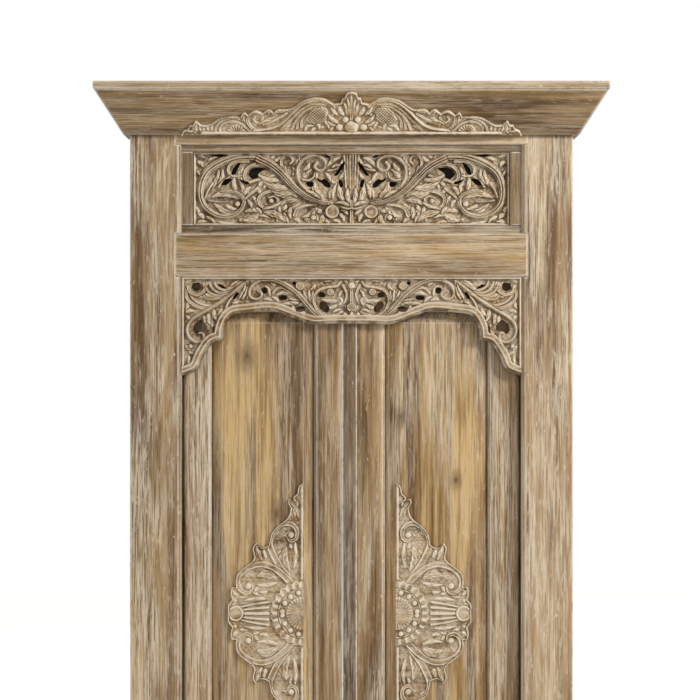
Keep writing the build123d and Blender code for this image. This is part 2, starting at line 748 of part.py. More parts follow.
for hand, side in leaf_sides.items():
    opening, opening_right = panel_openings[hand]
    panel_width = opening_right - opening
    hinge_side_edge = opening if side < 0 else opening_right
    meeting_side_edge = opening_right if side < 0 else opening
    peg_places = leaf_peg_places(opening, opening_right)
    hinge_pegs = [place for place in peg_places if (place[0] - hinge_side_edge) * side > 0]
    meeting_pegs = [place for place in peg_places if (place[0] - meeting_side_edge) * side < 0]

    with BuildPart() as hinge_stile:
        low_x, high_x = sorted((hinge_side_edge, side * pivot_x))
        add(block((low_x, leaf_front, leaf_bottom), (high_x, leaf_back, leaf_top)))
        with BuildSketch(Plane.XY.offset(leaf_bottom)):
            with Locations((side * pivot_x, pivot_y)):
                Circle(heel_radius)
        extrude(amount=leaf_top - leaf_bottom)
        # the pivots are turned on the ends of the stile
        with BuildSketch(Plane.XY.offset(leaf_bottom - pivot_length)):
            with Locations((side * pivot_x, pivot_y)):
                Circle(pivot_radius)
        extrude(amount=leaf_top - leaf_bottom + 2 * pivot_length)
        stile_cuts(hinge_side_edge, side)
        drill_leaf_pegs(hinge_pegs)
    hinge_stile.part.label = f"{hand}_hinge_stile"
    export_step(hinge_stile.part, f"parts/{hand}_hinge_stile.step")

    with BuildPart() as meeting_stile:
        low_x, high_x = sorted((meeting_side_edge, meeting_edge[hand]))
        add(block((low_x, leaf_front, leaf_bottom), (high_x, leaf_back, leaf_top)))
        stile_cuts(meeting_side_edge, -side)
        drill_leaf_pegs(meeting_pegs)
    meeting_stile.part.label = f"{hand}_meeting_stile"
    export_step(meeting_stile.part, f"parts/{hand}_meeting_stile.step")

    for rail, (low, high) in rails.items():
        with BuildPart() as leaf_rail:
            add(block((opening, leaf_front, low), (opening_right, leaf_back, high)))
            panel_side = high if rail == "bottom_rail" else low
            groove_end = panel_side - math.copysign(panel_groove_depth, panel_side - (low + high) / 2)
            front_arrises = leaf_rail.edges().filter_by(Axis.X).group_by(Axis.Y)[0]
            chamfer(front_arrises.sort_by(Axis.Z)[-1 if rail == "bottom_rail" else 0], edge_moulding)
            add(block(
                (opening, pivot_y - panel_groove / 2, min(panel_side, groove_end)),
                (opening_right, pivot_y + panel_groove / 2, max(panel_side, groove_end)),
            ), mode=Mode.SUBTRACT)
            for tenon_start, tenon_end in (
                (opening - leaf_tenon_length, opening),
                (opening_right, opening_right + leaf_tenon_length),
            ):
                add(block(
                    (tenon_start, pivot_y - leaf_tenon_thickness / 2, low + leaf_tenon_shoulder),
                    (tenon_end, pivot_y + leaf_tenon_thickness / 2, high - leaf_tenon_shoulder),
                ))
            drill_leaf_pegs(peg_places)
        leaf_rail.part.label = f"{hand}_{rail}"
        export_step(leaf_rail.part, f"parts/{hand}_{rail}.step")

    with BuildPart() as panel:
        panel_x = (opening + opening_right) / 2
        panel_z = (panel_bottom + panel_top) / 2
        panel_height = panel_top - panel_bottom
        tongue_reach = 2 * (panel_groove_depth - panel_end_gap)
        tongue_front = pivot_y - panel_tongue / 2
        with BuildSketch(front_plane(tongue_front + panel_tongue, panel_x, panel_z)):
            Rectangle(panel_width + tongue_reach, panel_height + tongue_reach)
        extrude(amount=panel_tongue)
        with BuildSketch(front_plane(tongue_front, panel_x, panel_z)):
            Rectangle(panel_width, panel_height)
        with BuildSketch(front_plane(leaf_front, panel_x, panel_z)):
            Rectangle(panel_width - 2 * field_margin, panel_height - 2 * field_margin)
        loft()
    panel.part.label = f"{hand}_panel"
    export_step(panel.part, f"parts/{hand}_panel.step")

    with BuildPart() as leaf_pegs:
        with BuildSketch(front_plane(leaf_back)):
            with Locations(*peg_places):
                Rectangle(leaf_peg_size - peg_play, leaf_peg_size - peg_play)
        extrude(amount=leaf_peg_depth)
    leaf_pegs.part.label = f"{hand}_leaf_pegs"
    export_step(leaf_pegs.part, f"parts/{hand}_leaf_pegs.step")

with BuildPart() as meeting_strip:
    add(block(
        (meeting_edge["right"], leaf_front - strip_thickness, leaf_bottom),
        (meeting_edge["right"] + strip_width, leaf_front, leaf_top),
    ))
    strip_arrises = meeting_strip.edges().filter_by(Axis.Z).group_by(Axis.Y)[0]
    fillet(strip_arrises.sort_by(Axis.X)[-1], strip_round)
    chamfer(strip_arrises.sort_by(Axis.X)[0], strip_round / 3)
meeting_strip.part.label = "meeting_strip"
export_step(meeting_strip.part, "parts/meeting_strip.step")


# Medallions: half of a round flower with scrolls above and below, one on each panel

# The upper left quarter, drawn from the middle of the flat side; the lower mirrors it.
medallion_edge = lobed([
    [(0, medallion_drawn_half_height), (-13, 341), (-17, 322)],
    [(-17, 322), (-25, 319), (-27, 309)],
    [(-27, 309), (-36, 313), (-42, 303)],
    [(-42, 303), (-34, 286), (-38, 268), (-52, 251)],
    [(-52, 251), (-84, 224), (-94, 185)],
    [(-94, 185), (-106, 181), (-117, 180)],
    [(-117, 180), (-130, 191), (-138, 176)],
    [(-138, 176), (-133, 154), (-142, 138)],
    [(-142, 138), (-175, 112), (-185, 78)],
    [(-185, 78), (-198, 68), (-196, 44), (-190, 28)],
    [(-190, 28), (-202, 15), (-medallion_drawn_reach, 0)],
])
medallion_quarter = [(0, 0), *medallion_edge, (-medallion_drawn_reach, 0)]
medallion_motifs = [
    # the big scroll, from the foot of the flower out to the rim and in to its eye
    stem([(-36, 82), (-62, 116), (-96, 136), (-128, 134)], 9, 14),
    scroll((-138, 86), 46, 12, 84, 400, 14, 6),
    leaf((-58, 90), (-116, 112), 12, 5),
    leaf((-76, 84), (-122, 78), 6, 9),
    # the upper scroll and the leaves in it
    stem([(-24, 88), (-48, 122), (-78, 166), (-86, 204)], 7, 13),
    scroll((-48, 206), 40, 9, 180, -400, 13, 5),
    leaf((-24, 96), (-52, 172), 9, 6),
    leaf((-16, 100), (-24, 196), 7, 6),
    # the crown between the scrolls and the leaf beside the ring boss
    leaf((-112, 144), (-130, 184), 7, 8),
    leaf((-178, 34), (-192, 66), 8, 8),
    # the tip
    stem([(-34, 240), (-30, 268), (-36, 304)], 8, 6),
    stem([(-14, 246), (-12, 290), (-10, 340)], 6, 5),
    leaf((-12, 250), (-28, 284), 6, 5),
    # the fillet along the flat side
    bar((-7, 84), (-1, 240)),
    # the flutes round the flower, and its ring of beads
    *[ray(turn, 70, 96, 6) for turn in (108, 126, 144, 162)],
    *[boss((60 * math.cos(math.radians(turn)), 60 * math.sin(math.radians(turn))), 8)
        for turn in (102, 125, 149)],
]
# What lies on the middle line: the flower's half disc, the ribs and the ring boss.
half_disc = [(0, 48), *[
    (48 * math.cos(math.radians(turn)), 48 * math.sin(math.radians(turn))) for turn in (120, 150, 180)
], (0, 0)]
medallion_middle = [
    half_disc,
    boss((-60, 5), 7),
    bar((-150, -3.5), (-80, 3.5)),
    bar((-150, 6.5), (-84, 13)),
    boss((-182, 0), 22),
]
upper_and_lower = ((1, 1), (1, -1))

for hand, side in leaf_sides.items():
    flat_side = {
        "left": panel_openings["left"][1] - field_margin - medallion_inset,
        "right": panel_openings["right"][0] + field_margin + medallion_inset,
    }[hand]
    medallion_plane = front_plane(leaf_front, flat_side, medallion_height_above_floor)
    with BuildPart() as medallion:
        medallion_spread = (
            medallion_reach / medallion_drawn_reach,
            medallion_half_height / medallion_drawn_half_height,
        )
        with BuildSketch(medallion_plane):
            add(carved([medallion_quarter], *medallion_spread, halves=upper_and_lower))
        extrude(amount=medallion_ground)
        with BuildSketch(medallion_plane):
            add(carved(medallion_motifs + medallion_middle, *medallion_spread, halves=upper_and_lower))
        extrude(amount=medallion_ground + medallion_relief)
        if side > 0:
            mirror(about=Plane(origin=(flat_side, 0, 0), z_dir=(1, 0, 0)), mode=Mode.REPLACE)
    medallion.part.label = f"{hand}_medallion"
    export_step(medallion.part, f"parts/{hand}_medallion.step")

# Bolt on the back of the leaves: a bar in two guides, a knob and a keeper
bar_low = bolt_height_above_floor - bolt_bar_height / 2
bar_high = bolt_height_above_floor + bolt_bar_height / 2
bar_face = leaf_back + bolt_play
bar_back = bar_face + bolt_bar_depth
first_guide = meeting_edge["right"] + guide_edge
second_guide = panel_openings["right"][0] - guide_edge - guide_width
bar_start = first_guide + guide_edge
bar_end = second_guide + guide_width + bolt_tail
keeper_x = meeting_edge["left"] - keeper_setback - keeper_width


def bridge(low_x, width):
    """A block with a slot through it beside the leaf, for the bar to slide in."""
    add(block(
        (low_x, leaf_back, bar_low - guide_wall),
        (low_x + width, bar_back + bolt_play + guide_wall, bar_high + guide_wall),
    ))
    add(block(
        (low_x, leaf_back, bar_low - bolt_play),
        (low_x + width, bar_back + bolt_play, bar_high + bolt_play),
    ), mode=Mode.SUBTRACT)


with BuildPart() as bolt_guides:
    bridge(first_guide, guide_width)
    bridge(second_guide, guide_width)
bolt_guides.part.label = "bolt_guides"
export_step(bolt_guides.part, "parts/bolt_guides.step")

with BuildPart() as bolt_keeper:
    bridge(keeper_x, keeper_width)
bolt_keeper.part.label = "bolt_keeper"
export_step(bolt_keeper.part, "parts/bolt_keeper.step")

with BuildPart() as slide_bolt:
    add(block((bar_start, bar_face, bar_low), (bar_end, bar_back, bar_high)))
    chamfer(slide_bolt.faces().sort_by(Axis.X)[0].edges(), 2 * bolt_play)
    knob_x = second_guide - bolt_play - knob_radius
    with BuildSketch(front_plane(bar_back, knob_x, bolt_height_above_floor)):
        RegularPolygon(knob_radius, 8)
    extrude(amount=-knob_length)
slide_bolt.part.label = "slide_bolt"
export_step(slide_bolt.part, "parts/slide_bolt.step")

with BuildPart() as transom_backing:
    backing_front = fret_back + backing_gap
    add(block(
        (-jamb_inner, backing_front, rail_top),
        (jamb_inner, backing_front + backing_thickness, head_underside),
    ))
transom_backing.part.label = "transom_backing"
export_step(transom_backing.part, "parts/transom_backing.step")
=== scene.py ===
import copy
import math

import bpy
import bmesh
import numpy as np
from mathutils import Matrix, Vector


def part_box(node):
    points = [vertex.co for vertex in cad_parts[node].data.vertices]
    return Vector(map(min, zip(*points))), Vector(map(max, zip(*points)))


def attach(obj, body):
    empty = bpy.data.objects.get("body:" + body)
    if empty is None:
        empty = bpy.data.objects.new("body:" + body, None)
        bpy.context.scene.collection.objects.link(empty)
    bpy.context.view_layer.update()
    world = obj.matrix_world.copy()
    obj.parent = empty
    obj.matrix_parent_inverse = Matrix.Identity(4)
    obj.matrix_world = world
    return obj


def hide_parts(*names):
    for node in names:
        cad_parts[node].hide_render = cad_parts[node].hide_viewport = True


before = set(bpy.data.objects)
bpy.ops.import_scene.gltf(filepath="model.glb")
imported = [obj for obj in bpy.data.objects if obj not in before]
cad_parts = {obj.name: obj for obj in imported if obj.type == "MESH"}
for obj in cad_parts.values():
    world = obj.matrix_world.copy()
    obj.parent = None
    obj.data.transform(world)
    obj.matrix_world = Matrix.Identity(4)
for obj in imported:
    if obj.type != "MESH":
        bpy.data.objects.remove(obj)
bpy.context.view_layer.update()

# The view: the camera stands level in front of the door, a little above its middle.
# The picture takes in 1.9 m of the door's face, so the door runs on below its lower edge.
camera_height = 1.684
face_y = -0.045
camera_distance = 4.5
picture_width = 1.897
camera_x = -0.004

camera_data = bpy.data.cameras.new("view")
camera_data.sensor_width = 36.0
camera_data.lens = camera_data.sensor_width * camera_distance / picture_width
camera = bpy.data.objects.new("view", camera_data)
camera.location = (camera_x, face_y - camera_distance, camera_height)
camera.rotation_euler = (math.radians(90), 0, 0)
bpy.context.collection.objects.link(camera)
bpy.context.scene.camera = camera

# The studio: a pale floor, a surround that shows white behind the door, and soft lamps.
# The main lamp stands high on the right, so right-hand arrises are bright as in the photo.
scene = bpy.context.scene
scene.view_settings.view_transform = "Standard"

world = bpy.data.worlds.new("studio")
scene.world = world
world.use_nodes = True
world_nodes = world.node_tree.nodes
world_links = world.node_tree.links
world_nodes.clear()
world_out = world_nodes.new("ShaderNodeOutputWorld")
world_mix = world_nodes.new("ShaderNodeMixShader")
world_fill = world_nodes.new("ShaderNodeBackground")
world_fill.inputs["Color"].default_value = (1.0, 0.98, 0.96, 1)
world_fill.inputs["Strength"].default_value = 0.42
world_white = world_nodes.new("ShaderNodeBackground")
world_white.inputs["Color"].default_value = (1, 1, 1, 1)
world_white.inputs["Strength"].default_value = 1.0


def seen_rays(tree):
    """1 for the rays that show a backdrop: straight from the camera, off gloss or through glass."""
    path = tree.nodes.new("ShaderNodeLightPath")
    seen = path.outputs["Is Camera Ray"]
    for ray in ("Is Glossy Ray", "Is Transmission Ray"):
        either = tree.nodes.new("ShaderNodeMath")
        either.operation = "MAXIMUM"
        tree.links.new(seen, either.inputs[0])
        tree.links.new(path.outputs[ray], either.inputs[1])
        seen = either.outputs[0]
    return seen


world_links.new(seen_rays(world.node_tree), world_mix.inputs["Fac"])
world_links.new(world_fill.outputs["Background"], world_mix.inputs[1])
world_links.new(world_white.outputs["Background"], world_mix.inputs[2])
world_links.new(world_mix.outputs["Shader"], world_out.inputs["Surface"])


def lamp(name, place, aim, size, watts):
    """A square soft lamp turned to face a point."""
    data = bpy.data.lights.new(name, "AREA")
    data.size = size
    data.energy = watts
    light = bpy.data.objects.new(name, data)
    light.location = place
    light.rotation_euler = (Vector(aim) - Vector(place)).to_track_quat("-Z", "Y").to_euler()
    bpy.context.collection.objects.link(light)


lamp("main_lamp", (3.3, -2.5, 3.4), (0, 0, 1.5), 0.9, 141)
lamp("side_lamp", (-3.2, -3.4, 2.2), (0, 0, 1.2), 2.2, 26)
lamp("back_lamp", (-1.5, 4.2, 3.2), (0, 0, 1.3), 2.0, 120)

bpy.ops.object.select_all(action="DESELECT")
bpy.ops.mesh.primitive_plane_add(size=14, location=(0, 0, 0))
floor = bpy.context.active_object
floor.name = "studio_floor"
floor_material = bpy.data.materials.new("pale_floor")
floor_material.use_nodes = True
floor_surface = floor_material.node_tree.nodes["Principled BSDF"]
floor_surface.inputs["Base Color"].default_value = (0.86, 0.85, 0.83, 1)
floor_surface.inputs["Roughness"].default_value = 0.9
floor_surface.inputs["Emission Color"].default_value = (1, 1, 1, 1)
floor_glow = floor_material.node_tree.nodes.new("ShaderNodeMath")
floor_glow.operation = "MULTIPLY"
floor_glow.inputs[1].default_value = 0.58
floor_material.node_tree.links.new(seen_rays(floor_material.node_tree), floor_glow.inputs[0])
floor_material.node_tree.links.new(floor_glow.outputs[0], floor_surface.inputs["Emission Strength"])
floor.data.materials.append(floor_material)

# The jambs, rails and threshold: squared members of old teak, mortised and pegged.
# The wood was washed with thin white paint and rubbed back, so white stays in the
# pores, the dents and along the arrises, over streaks of brown and golden grain.


def new_group(name, inputs, outputs):
    """An empty shader node group with named sockets; inputs are (name, kind, value)."""
    group = bpy.data.node_groups.new(name, "ShaderNodeTree")
    for label, kind, value in inputs:
        socket = group.interface.new_socket(label, in_out="INPUT", socket_type=kind)
        if value is not None:
            socket.default_value = value
    for label, kind in outputs:
        group.interface.new_socket(label, in_out="OUTPUT", socket_type=kind)
    return group


class Wiring:
    """Short calls for adding nodes to one tree and joining them up."""

    def __init__(self, tree):
        self.tree = tree

    def feed(self, node, socket, value):
        if isinstance(value, bpy.types.NodeSocket):
            self.tree.links.new(value, node.inputs[socket])
        elif value is not None:
            node.inputs[socket].default_value = value

    def math(self, operation, first, second=None, clamp=False):
        node = self.tree.nodes.new("ShaderNodeMath")
        node.operation = operation
        node.use_clamp = clamp
        self.feed(node, 0, first)
        self.feed(node, 1, second)
        return node.outputs[0]

    def step(self, value, low, high, to_low=0.0, to_high=1.0):
        node = self.tree.nodes.new("ShaderNodeMapRange")
        node.interpolation_type = "SMOOTHSTEP"
        self.feed(node, "Value", value)
        limits = {"From Min": low, "From Max": high, "To Min": to_low, "To Max": to_high}
        for socket, number in limits.items():
            node.inputs[socket].default_value = number
        return node.outputs["Result"]

    def mix(self, share, first, second):
        node = self.tree.nodes.new("ShaderNodeMix")
        node.data_type = "RGBA"
        self.feed(node, "Factor", share)
        self.feed(node, 6, first)
        self.feed(node, 7, second)
        return node.outputs[2]

    def stretch(self, vector, scale, shift=(0, 0, 0)):
        node = self.tree.nodes.new("ShaderNodeMapping")
        self.feed(node, "Vector", vector)
        node.inputs["Scale"].default_value = scale
        node.inputs["Location"].default_value = shift
        return node.outputs["Vector"]

    def noise(self, vector, detail=3.0, roughness=0.55, distortion=0.0):
        node = self.tree.nodes.new("ShaderNodeTexNoise")
        self.feed(node, "Vector", vector)
        node.inputs["Scale"].default_value = 1.0
        node.inputs["Detail"].default_value = detail
        node.inputs["Roughness"].default_value = roughness
        node.inputs["Distortion"].default_value = distortion
        return node.outputs["Fac"]


def shade(red, green, blue):
    """A colour written as it looks on screen, turned to the renderer's linear values."""
    channels = []
    for level in (red, green, blue):
        share = level / 255
        channels.append(share / 12.92 if share <= 0.04045 else ((share + 0.055) / 1.055) ** 2.4)
    return (*channels, 1.0)


old_brown = shade(92, 68, 42)
mid_brown = shade(142, 114, 80)
gold_brown = shade(188, 154, 106)
wash_white = shade(228, 213, 189)
arris_white = shade(236, 224, 204)
# dark brown for pores and knot centres, and for painted shade in corners and carved hollows
pore_brown_and_painted_shade = shade(52, 36, 20)

# The grain group reads a vector whose Z runs along the grain, in metres. Each noise is
# drawn out along it: stretch holds how often it repeats in a metre across and along.
grain = new_group(
    "teak_grain",
    [
        ("Along", "NodeSocketVector", None),
        ("Dark", "NodeSocketColor", old_brown),
        ("Middle", "NodeSocketColor", mid_brown),
        ("Light", "NodeSocketColor", gold_brown),
        ("Wash", "NodeSocketFloat", 0.5),
    ],
    [("Color", "NodeSocketColor"), ("Roughness", "NodeSocketFloat"), ("Height", "NodeSocketFloat")],
)
g = Wiring(grain)
g_in = grain.nodes.new("NodeGroupInput")
g_out = grain.nodes.new("NodeGroupOutput")
along = g_in.outputs["Along"]
broad = g.noise(g.stretch(along, (11, 11, 0.9)), 4, 0.6, 0.6)
streak = g.noise(g.stretch(along, (70, 70, 2.2)), 4, 0.6, 0.4)
fine = g.noise(g.stretch(along, (330, 330, 9)), 3, 0.6)
pores = g.noise(g.stretch(along, (620, 620, 26)), 2, 0.5)
tone = g.math("ADD", g.math("MULTIPLY", broad, 0.55), g.math("MULTIPLY", streak, 0.45))
base = g.mix(g.step(tone, 0.41, 0.51), g_in.outputs["Dark"], g_in.outputs["Middle"])
base = g.mix(g.step(tone, 0.50, 0.60), base, g_in.outputs["Light"])
base = g.mix(g.step(fine, 0.50, 0.30, 0.0, 0.45), base, g_in.outputs["Dark"])
patch = g.noise(g.stretch(along, (9, 9, 1.6)), 5, 0.6, 0.8)
thread = g.noise(g.stretch(along, (300, 300, 9)), 5, 0.7, 0.3)
flake = g.noise(g.stretch(along, (120, 120, 16)), 4, 0.66, 0.6)
dab = g.noise(g.stretch(along, (85, 85, 38)), 3, 0.6, 0.5)
cover = g.math("MULTIPLY", g.step(patch, 0.36, 0.60), g.step(thread, 0.40, 0.60))
flaked = g.math("MULTIPLY", g.step(flake, 0.52, 0.66), g.step(patch, 0.30, 0.56, 0.15, 0.8))
cover = g.math("MAXIMUM", cover, flaked)
cover = g.math("MAXIMUM", cover, g.step(dab, 0.655, 0.72, 0.0, 0.8))
cover = g.math("MULTIPLY", cover, g_in.outputs["Wash"], clamp=True)
washed = g.mix(cover, base, wash_white)
washed = g.mix(g.step(pores, 0.36, 0.26, 0.0, 0.55), washed, pore_brown_and_painted_shade)
g.feed(g_out, "Color", washed)
g.feed(g_out, "Roughness", g.step(cover, 0.0, 1.0, 0.62, 0.85))
height = g.math("ADD", g.math("MULTIPLY", fine, 0.5), g.math("MULTIPLY", pores, 0.35))
height = g.math("ADD", height, g.math("MULTIPLY", streak, 0.6))
g.feed(g_out, "Height", height)

# The arris group finds where two faces meet, so the wash and the light catch there. It also darkens the
# corners, joints and hollows that ambient occlusion finds: painted shade.
arris_and_shade_group = new_group(
    "arris_wash_and_corner_shade",
    [
        ("Color", "NodeSocketColor", mid_brown),
        ("Amount", "NodeSocketFloat", 0.7),
        ("Height", "NodeSocketFloat", 0.5),
    ],
    [("Color", "NodeSocketColor"), ("Normal", "NodeSocketVector")],
)
w = Wiring(arris_and_shade_group)
w_in = arris_and_shade_group.nodes.new("NodeGroupInput")
w_out = arris_and_shade_group.nodes.new("NodeGroupOutput")
round_edge = arris_and_shade_group.nodes.new("ShaderNodeBevel")
round_edge.samples = 6
round_edge.inputs["Radius"].default_value = 0.008
true_face = arris_and_shade_group.nodes.new("ShaderNodeNewGeometry")
facing = arris_and_shade_group.nodes.new("ShaderNodeVectorMath")
facing.operation = "DOT_PRODUCT"
w.feed(facing, 0, round_edge.outputs["Normal"])
w.feed(facing, 1, true_face.outputs["True Normal"])
place = arris_and_shade_group.nodes.new("ShaderNodeTexCoord").outputs["Object"]
broken = w.noise(w.stretch(place, (42, 42, 42)), 4, 0.6)
edge = w.step(facing.outputs["Value"], 0.997, 0.93)
edge = w.math("MULTIPLY", edge, w.step(broken, 0.32, 0.50, 0.45, 1.0))
edge = w.math("MULTIPLY", edge, w_in.outputs["Amount"], clamp=True)
# painted shade: corners, joints and hollows darken towards dark brown wherever ambient occlusion finds
# them
corner = arris_and_shade_group.nodes.new("ShaderNodeAmbientOcclusion")
corner.samples = 6
corner.inputs["Distance"].default_value = 0.022
corner_painted_shade = w.mix(w.step(corner.outputs["AO"], 0.72, 0.30, 0.0, 0.75), w_in.outputs["Color"], pore_brown_and_painted_shade)
w.feed(w_out, "Color", w.mix(edge, corner_painted_shade, arris_white))
bump = arris_and_shade_group.nodes.new("ShaderNodeBump")
bump.inputs["Strength"].default_value = 0.35
bump.inputs["Distance"].default_value = 0.0012
w.feed(bump, "Height", w_in.outputs["Height"])
w.feed(bump, "Normal", round_edge.outputs["Normal"])
w.feed(w_out, "Normal", bump.outputs["Normal"])


def cut_board(name, grain_axis, shift, tones, wash):
    """A new material with the grain along one axis: itself, its wiring, place, grain, surface."""
    material = bpy.data.materials.new(name)
    material.use_nodes = True
    tree = material.node_tree
    put = Wiring(tree)
    here = tree.nodes.new("ShaderNodeTexCoord").outputs["Object"]
    split = tree.nodes.new("ShaderNodeSeparateXYZ")
    put.feed(split, 0, put.stretch(here, (1, 1, 1), shift))
    turned = tree.nodes.new("ShaderNodeCombineXYZ")
    order = {"X": "YZX", "Y": "XZY", "Z": "XYZ"}[grain_axis]
    for socket, letter in zip("XYZ", order):
        put.feed(turned, socket, split.outputs[letter])
    cut = tree.nodes.new("ShaderNodeGroup")
    cut.node_tree = grain
    put.feed(cut, "Along", turned.outputs[0])
    for socket, value in zip(("Dark", "Middle", "Light", "Wash"), (*tones, wash)):
        cut.inputs[socket].default_value = value
    surface = tree.nodes["Principled BSDF"]
    surface.inputs["Specular IOR Level"].default_value = 0.25
    return material, put, here, cut, surface


def teak(name, grain_axis, shift, tones, wash, arris=0.7, knots=()):
    """A board of washed teak: which way its grain runs, its own tones, how much wash it holds,
    how strongly its arrises are rubbed pale, and its knots as (x, z, half-width) in metres."""
    material, put, here, cut, surface = cut_board(name, grain_axis, shift, tones, wash)
    tree = put.tree
    arris_and_shade = tree.nodes.new("ShaderNodeGroup")
    arris_and_shade.node_tree = arris_and_shade_group
    arris_and_shade.inputs["Amount"].default_value = arris
    colour = cut.outputs["Color"]
    for x, z, half_width in knots:
        scale = (1 / half_width, 0, 0.6 / half_width)
        centred = put.stretch(here, scale, (-x / half_width, 0, -0.6 * z / half_width))
        ragged = put.noise(put.stretch(here, (90, 90, 60), (x, 0, z)), 3, 0.6)
        reach = tree.nodes.new("ShaderNodeVectorMath")
        reach.operation = "LENGTH"
        put.feed(reach, 0, centred)
        reach = put.math("ADD", reach.outputs["Value"], put.math("MULTIPLY", ragged, 1.6))
        colour = put.mix(put.step(reach, 3.6, 1.0, 0.0, 0.6), colour, old_brown)
        colour = put.mix(put.step(reach, 1.6, 0.7, 0.0, 0.6), colour, pore_brown_and_painted_shade)
    put.feed(arris_and_shade, "Color", colour)
    put.feed(arris_and_shade, "Height", cut.outputs["Height"])
    put.feed(surface, "Base Color", arris_and_shade.outputs["Color"])
    put.feed(surface, "Roughness", cut.outputs["Roughness"])
    put.feed(surface, "Normal", arris_and_shade.outputs["Normal"])
    return material


def finish(node, *looks):
    """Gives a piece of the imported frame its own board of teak."""
    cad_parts[node].data.materials.clear()
    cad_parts[node].data.materials.append(teak(node + "_teak", *looks))


plain_tones = (old_brown, mid_brown, gold_brown)
left_jamb_tones = (shade(98, 72, 42), shade(146, 118, 82), gold_brown)
right_jamb_tones = (shade(108, 80, 50), shade(158, 130, 96), shade(190, 162, 124))
rail_tones = (shade(88, 64, 36), shade(136, 108, 70), shade(176, 144, 96))
# The head's lighter tones are painted light, to lift the shade the cornice casts on it.
head_tones_painted_light = (shade(138, 110, 72), shade(186, 156, 112), shade(216, 184, 134))
finish("jamb_left", "Z", (1.3, 0.2, 0.4), left_jamb_tones, 0.8, 1.0)
finish("jamb_right", "Z", (3.1, 0.7, 1.9), right_jamb_tones, 0.8, 1.0)
finish("transom_rail", "X", (0.3, 1.1, 2.2), rail_tones, 0.55, 0.9)
finish("threshold", "X", (2.2, 0.4, 0.7), plain_tones, 0.45)
finish("frame_head", "X", (5.2, 0.9, 1.7), head_tones_painted_light, 0.5, 0.9)
finish("frame_pegs", "Y", (0, 0, 0), plain_tones, 0.1)

# The cornice: a sloping board with mitred returns under a square-edged cap.
# Its grain runs along each board; the cap has caught most of the wash.
cornice_tones = (shade(80, 56, 28), shade(124, 97, 60), shade(156, 124, 80))
cap_tones = (shade(124, 98, 66), shade(164, 140, 106), shade(190, 166, 130))
finish("cornice_front", "X", (0.9, 0.1, 5.1), cornice_tones, 0.4, 0.6)
finish("cornice_return_left", "Y", (4.4, 0.6, 0.3), cornice_tones, 0.4, 0.6)
finish("cornice_return_right", "Y", (7.4, 1.6, 2.3), cornice_tones, 0.4, 0.6)
finish("cornice_cap", "X", (1.9, 3.1, 0.2), cap_tones, 0.75, 0.9)

# The beads round the transom light, mitred strips rounded on the side of the carving,
# and the board that closes the light behind it, coloured near black: painted shade seen through the
# openings.
# The beads' dark tones are painted shade for the recess round the carving.
bead_tones_painted_shade = (shade(74, 54, 30), shade(112, 88, 56), shade(148, 120, 82))
backing_tones_painted_shade = (shade(14, 11, 8), shade(20, 16, 12), shade(28, 22, 17))
finish("transom_bead_top", "X", (2.9, 2.1, 0.2), bead_tones_painted_shade, 0.5)
finish("transom_bead_bottom", "X", (6.9, 2.6, 3.2), bead_tones_painted_shade, 0.7, 0.9)
finish("transom_bead_left", "Z", (8.9, 0.6, 3.9), bead_tones_painted_shade, 0.35, 1.0)
finish("transom_bead_right", "Z", (9.9, 1.6, 4.9), bead_tones_painted_shade, 0.35, 1.0)
finish("transom_backing", "X", (0, 0, 0), backing_tones_painted_shade, 0.0, 0.1)

# The leaves: stiles and rails round a raised panel, on wooden pivots.
# The stiles are greyish and well washed; the panels are wider, golden boards.
stile_tones = (shade(98, 72, 42), shade(150, 121, 84), shade(188, 158, 116))
for node, axis, shift, wash in (
    ("left_hinge_stile", "Z", (1.1, 5.2, 0.3), 0.85),
    ("left_meeting_stile", "Z", (2.4, 6.2, 1.3), 0.5),
    ("right_meeting_stile", "Z", (3.7, 7.2, 2.3), 0.85),
    ("right_hinge_stile", "Z", (4.9, 8.2, 3.3), 0.65),
    ("left_top_rail", "X", (5.1, 9.2, 4.3), 0.5),
    ("left_bottom_rail", "X", (6.3, 1.2, 5.3), 0.55),
    ("right_top_rail", "X", (7.5, 2.2, 6.3), 0.5),
    ("right_bottom_rail", "X", (8.7, 3.2, 7.3), 0.55),
):
    finish(node, axis, shift, stile_tones, wash, 1.0)
panel_tones = (shade(94, 66, 34), shade(152, 121, 78), shade(202, 170, 118))
left_knots = ((-0.285, 1.668, 0.016), (-0.205, 1.24, 0.013))
right_knots = ((0.135, 1.50, 0.012), (0.285, 1.33, 0.010))
finish("left_panel", "Z", (0.4, 3.3, 0.9), panel_tones, 0.45, 0.9, left_knots)
finish("right_panel", "Z", (5.4, 6.3, 2.9), panel_tones, 0.6, 0.9, right_knots)
finish("left_leaf_pegs", "Y", (1, 0, 0), plain_tones, 0.1)
finish("right_leaf_pegs", "Y", (2, 0, 0), plain_tones, 0.1)

# The meeting strip, planed to a long bevel on its left side, and the left leaf's meeting
# stile, which comes up close to it, so that the closed leaves show one narrow joint.
strip_low, strip_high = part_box("meeting_strip")
strip_overrun = 0.0024
strip_flat = 0.010
strip_lip = 0.002
strip_section = (
    (strip_high.x, strip_high.y), (strip_low.x - strip_overrun, strip_high.y),
    (strip_low.x - strip_overrun, strip_high.y - strip_lip), (strip_high.x - strip_flat, strip_low.y),
    (strip_high.x, strip_low.y),
)
strip_mesh = bpy.data.meshes.new("meeting_strip_planed")
strip_work = bmesh.new()
strip_foot = strip_work.faces.new([strip_work.verts.new((x, y, strip_low.z)) for x, y in strip_section])
strip_rise = bmesh.ops.extrude_face_region(strip_work, geom=[strip_foot])["geom"]
bmesh.ops.translate(strip_work, vec=(0, 0, strip_high.z - strip_low.z),
    verts=[item for item in strip_rise if isinstance(item, bmesh.types.BMVert)])
bmesh.ops.recalc_face_normals(strip_work, faces=strip_work.faces)
